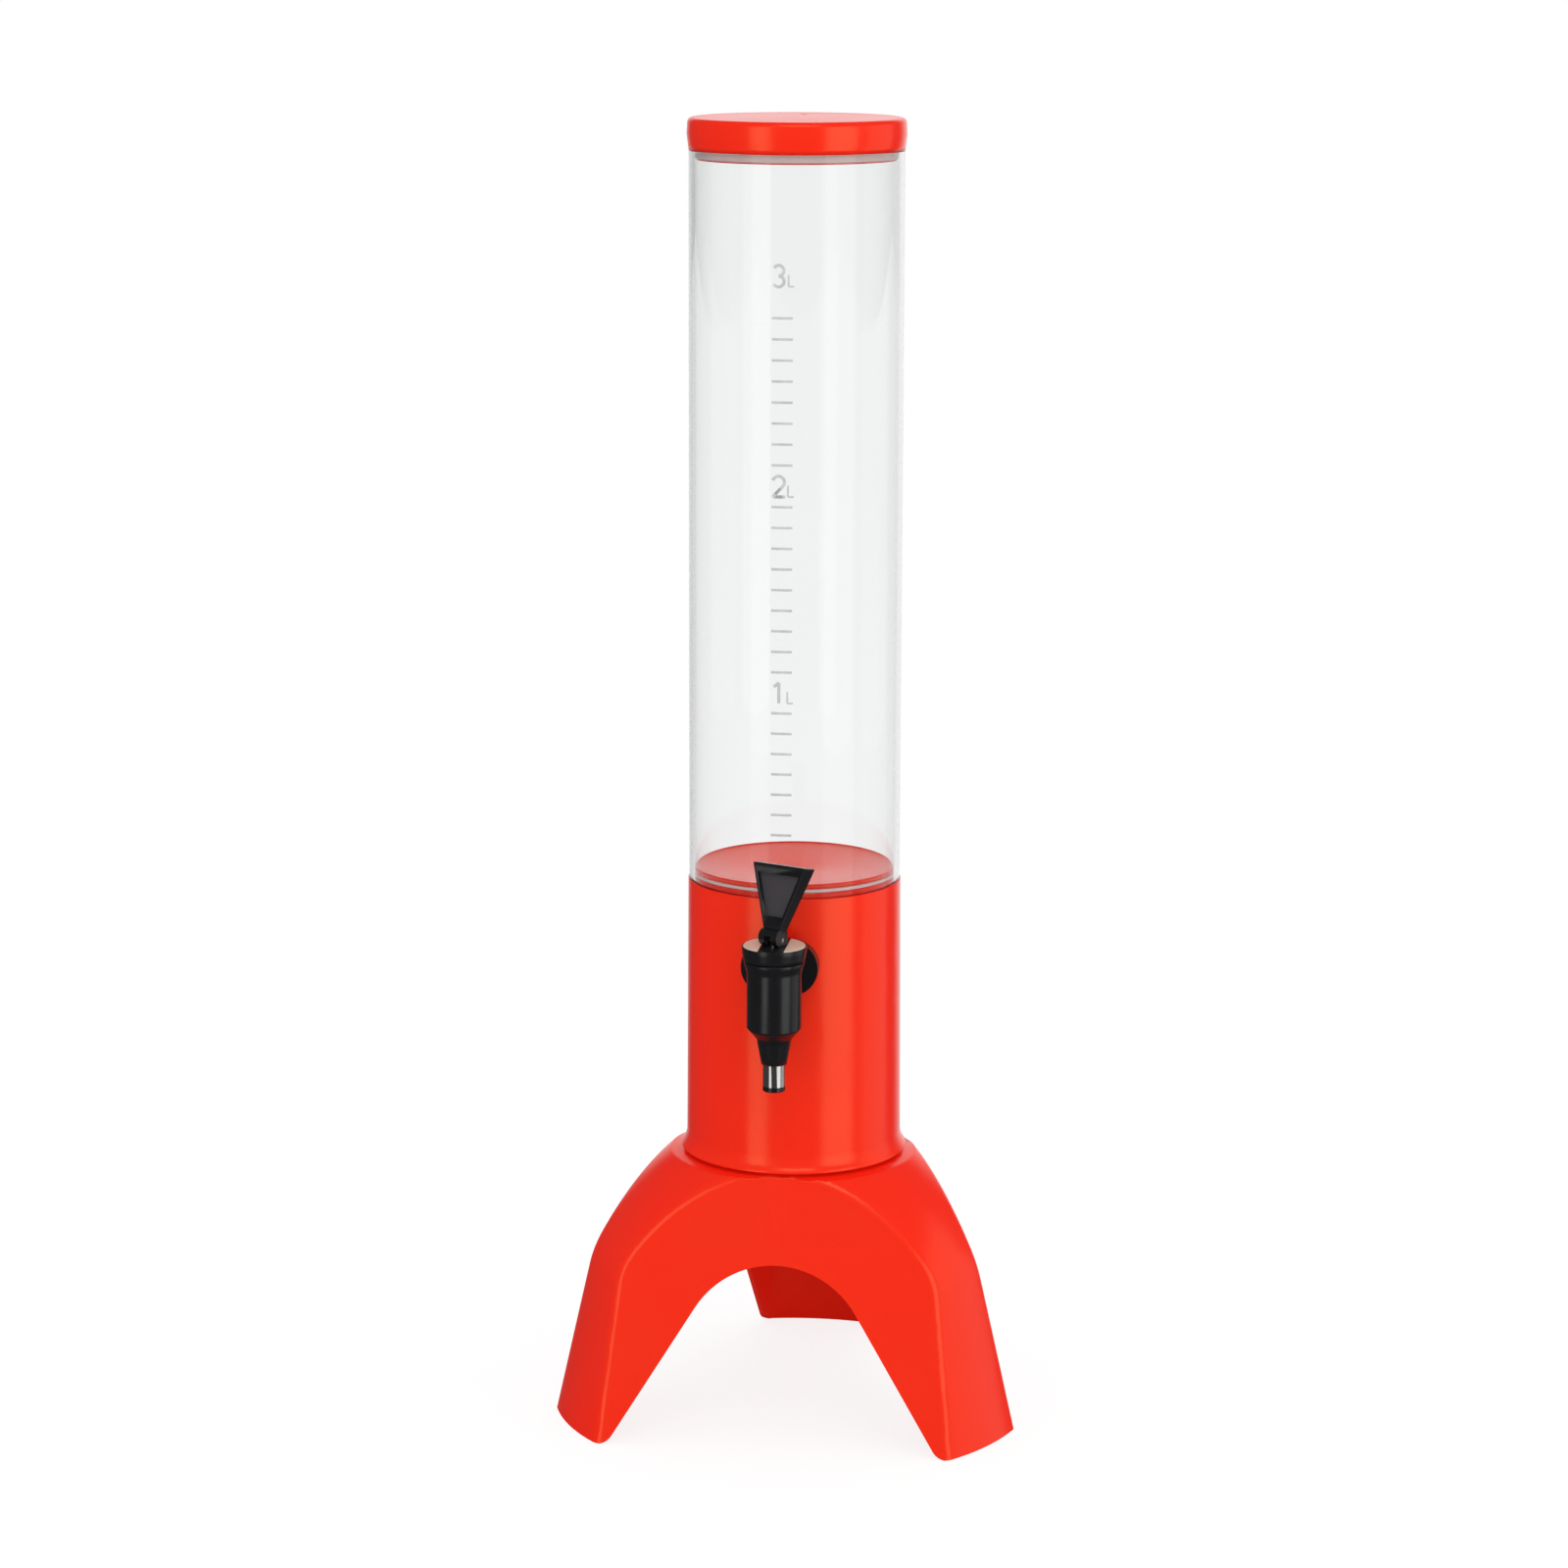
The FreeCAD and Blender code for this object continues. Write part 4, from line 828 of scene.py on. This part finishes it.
def choice(tree: bpy.types.NodeTree, share: bpy.types.NodeSocket, off: float | bpy.types.NodeSocket,
           on: float | bpy.types.NodeSocket) -> bpy.types.NodeSocket:
    """Give the off value where a share is 0 and the on value where it is 1; each is a number or a socket."""
    node = add_node(tree, "ShaderNodeMix", {"data_type": "FLOAT"}, {0: share})
    for index, value in ((2, off), (3, on)):
        if isinstance(value, float):
            node.inputs[index].default_value = value
        else:
            tree.links.new(value, node.inputs[index])
    return node.outputs[0]


@dataclass
class Studio:
    """The pale floor, the soft lights, the backdrop and the camera.

    Attributes:
        camera_place: camera's place in millimetres.
        heading: camera's heading, in degrees to the left of +Y.
        pitch: camera's tilt below the horizon, in degrees.
        roll: camera's roll, in degrees.
        lens: focal length in millimetres.
        sensor: width of the sensor in millimetres.
        shift: upright shift of the frame.
        fill: strength of the plain light from all round.
        floor_glow: strength of the floor's own white.
        floor_share: how much of the floor that the camera sees is its own white.
        floor_grey: how much light the floor scatters.
        floor_reach: half of the floor's width, in millimetres.
        mirror_span: how far a mirrored ray points along +Y where it leaves the dark studio and where it
            reaches the white backdrop, as cosines.
        mirror_ends: what that ray finds at those two.
        through_span: the same for a ray that has passed through the clear tube.
        through_ends: what that ray finds at those two.
        scattered_depth: value between light that no surface has scattered (0) and light that one has (1).
    """

    camera_place: tuple[float, float, float] = (284.6, -2222.0, 813.8)
    heading: float = 7.45
    pitch: float = 11.0
    roll: float = 0.17
    lens: float = 97.264
    sensor: float = 36.0
    shift: float = -0.0373
    fill: float = 0.92
    floor_glow: float = 1.10
    floor_share: float = 0.75
    floor_grey: float = 0.75
    floor_reach: float = 6000.0
    mirror_span: tuple[float, float] = (0.8, 0.97)
    mirror_ends: tuple[float, float] = (0.06, 1.0)
    through_span: tuple[float, float] = (0.5, 0.94)
    through_ends: tuple[float, float] = (0.02, 1.0)
    scattered_depth: float = 0.5

    def camera(self) -> None:
        """Set the camera where the photograph was taken from."""
        data = bpy.data.cameras.new("photo_camera")
        data.lens = self.lens
        data.sensor_width = self.sensor
        data.shift_y = self.shift
        camera = bpy.data.objects.new("photo_camera", data)
        turn = Matrix.Rotation(math.radians(self.heading), 4, "Z")
        tilt = Matrix.Rotation(math.radians(90.0 - self.pitch), 4, "X")
        level = Matrix.Rotation(math.radians(self.roll), 4, "Z")
        camera.matrix_world = Matrix.Translation(Vector(self.camera_place) * MM) @ turn @ tilt @ level
        bpy.context.scene.collection.objects.link(camera)
        bpy.context.scene.camera = camera

    def world(self) -> None:
        """A white backdrop, and a plain grey light to everything else.

        What the camera sees is white. A reflected ray finds white behind the object, towards +Y, and a dark
        studio in front of it. A ray through the clear tube finds the same backdrop, and the dark studio where
        the wall turns it back. Light that a surface has scattered is the plain light everywhere.
        """
        world = bpy.data.worlds.new("studio")
        world.use_nodes = True
        tree = world.node_tree
        tree.nodes.clear()
        bpy.context.scene.world = world
        place = add_node(tree, "ShaderNodeTexCoord")
        split = add_node(tree, "ShaderNodeSeparateXYZ", links={"Vector": place.outputs["Generated"]})
        mirrored = ramp(tree, self.mirror_span, self.mirror_ends, split.outputs["Y"])
        through = ramp(tree, self.through_span, self.through_ends, split.outputs["Y"])
        path = add_node(tree, "ShaderNodeLightPath")
        scattered = add_node(tree, "ShaderNodeMath", {"operation": "GREATER_THAN", 1: self.scattered_depth},
                             {0: path.outputs["Diffuse Depth"]})
        strength = choice(tree, path.outputs["Is Glossy Ray"], self.fill, mirrored)
        strength = choice(tree, path.outputs["Is Transmission Ray"], strength, through)
        strength = choice(tree, scattered.outputs[0], strength, self.fill)
        strength = choice(tree, path.outputs["Is Camera Ray"], strength, 1.0)
        back = add_node(tree, "ShaderNodeBackground", {"Color": WHITE}, {"Strength": strength})
        add_node(tree, "ShaderNodeOutputWorld", links={"Surface": back.outputs["Background"]})

    def floor(self) -> None:
        """A wide pale floor that runs into the white backdrop and keeps the object's shadow.

        Gloss doesn't mirror it, so the softboxes' lower ends show in the column as they do in the photograph.
        """
        reach = self.floor_reach
        points = np.array([[-reach, -reach, 0.0], [reach, -reach, 0.0],
                           [reach, reach, 0.0], [-reach, reach, 0.0]])
        mesh = bpy.data.meshes.new("studio_floor")
        mesh.from_pydata((points * MM).tolist(), [], [[0, 1, 2, 3]])
        material, tree = fresh_tree("pale_paper_matt")
        plain = add_node(tree, "ShaderNodeBsdfDiffuse", {
            "Color": (self.floor_grey, self.floor_grey, self.floor_grey, 1.0)})
        glow = add_node(tree, "ShaderNodeEmission", {"Color": WHITE, "Strength": self.floor_glow})
        path = add_node(tree, "ShaderNodeLightPath")
        place = add_node(tree, "ShaderNodeTexCoord")
        way = add_node(tree, "ShaderNodeVectorMath", {"operation": "NORMALIZE"},
                       {"Vector": place.outputs["Object"]})
        split = add_node(tree, "ShaderNodeSeparateXYZ", links={"Vector": way.outputs["Vector"]})
        behind = ramp(tree, self.through_span, (0.0, 1.0), split.outputs["Y"])
        through = add_node(tree, "ShaderNodeMath", {"operation": "MULTIPLY"},
                           {0: path.outputs["Is Transmission Ray"], 1: behind})
        clear = add_node(tree, "ShaderNodeMath", {"operation": "MAXIMUM"},
                         {0: path.outputs["Is Camera Ray"], 1: through.outputs[0]})
        share = add_node(tree, "ShaderNodeMath", {"operation": "MULTIPLY", 1: self.floor_share},
                         {0: clear.outputs[0]})
        mixed = add_node(tree, "ShaderNodeMixShader", links={
            0: share.outputs[0], 1: plain.outputs["BSDF"], 2: glow.outputs["Emission"]})
        add_node(tree, "ShaderNodeOutputMaterial", links={"Surface": mixed.outputs["Shader"]})
        mesh.materials.append(material)
        floor = bpy.data.objects.new("studio_floor", mesh)
        floor.visible_glossy = False
        bpy.context.scene.collection.objects.link(floor)

    def build(self) -> None:
        """Set up the whole studio."""
        self.camera()
        self.world()
        self.floor()
        for light in SOFTBOXES:
            light.build()
        bpy.context.scene.view_settings.view_transform = "Standard"


def main() -> None:
    """Load the frame, dress it and light it."""
    logging.basicConfig(level=logging.INFO)
    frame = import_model()
    finishes = Finishes()
    for assembly in (TripodBase(), Column(), ClearTube(), Lid(), DispenseTap(), ClosingSpring()):
        assembly.build(frame, finishes)
        LOG.info("%s is dressed", type(assembly).__name__)
    Studio().build()


if __name__ == "__main__":
    main()
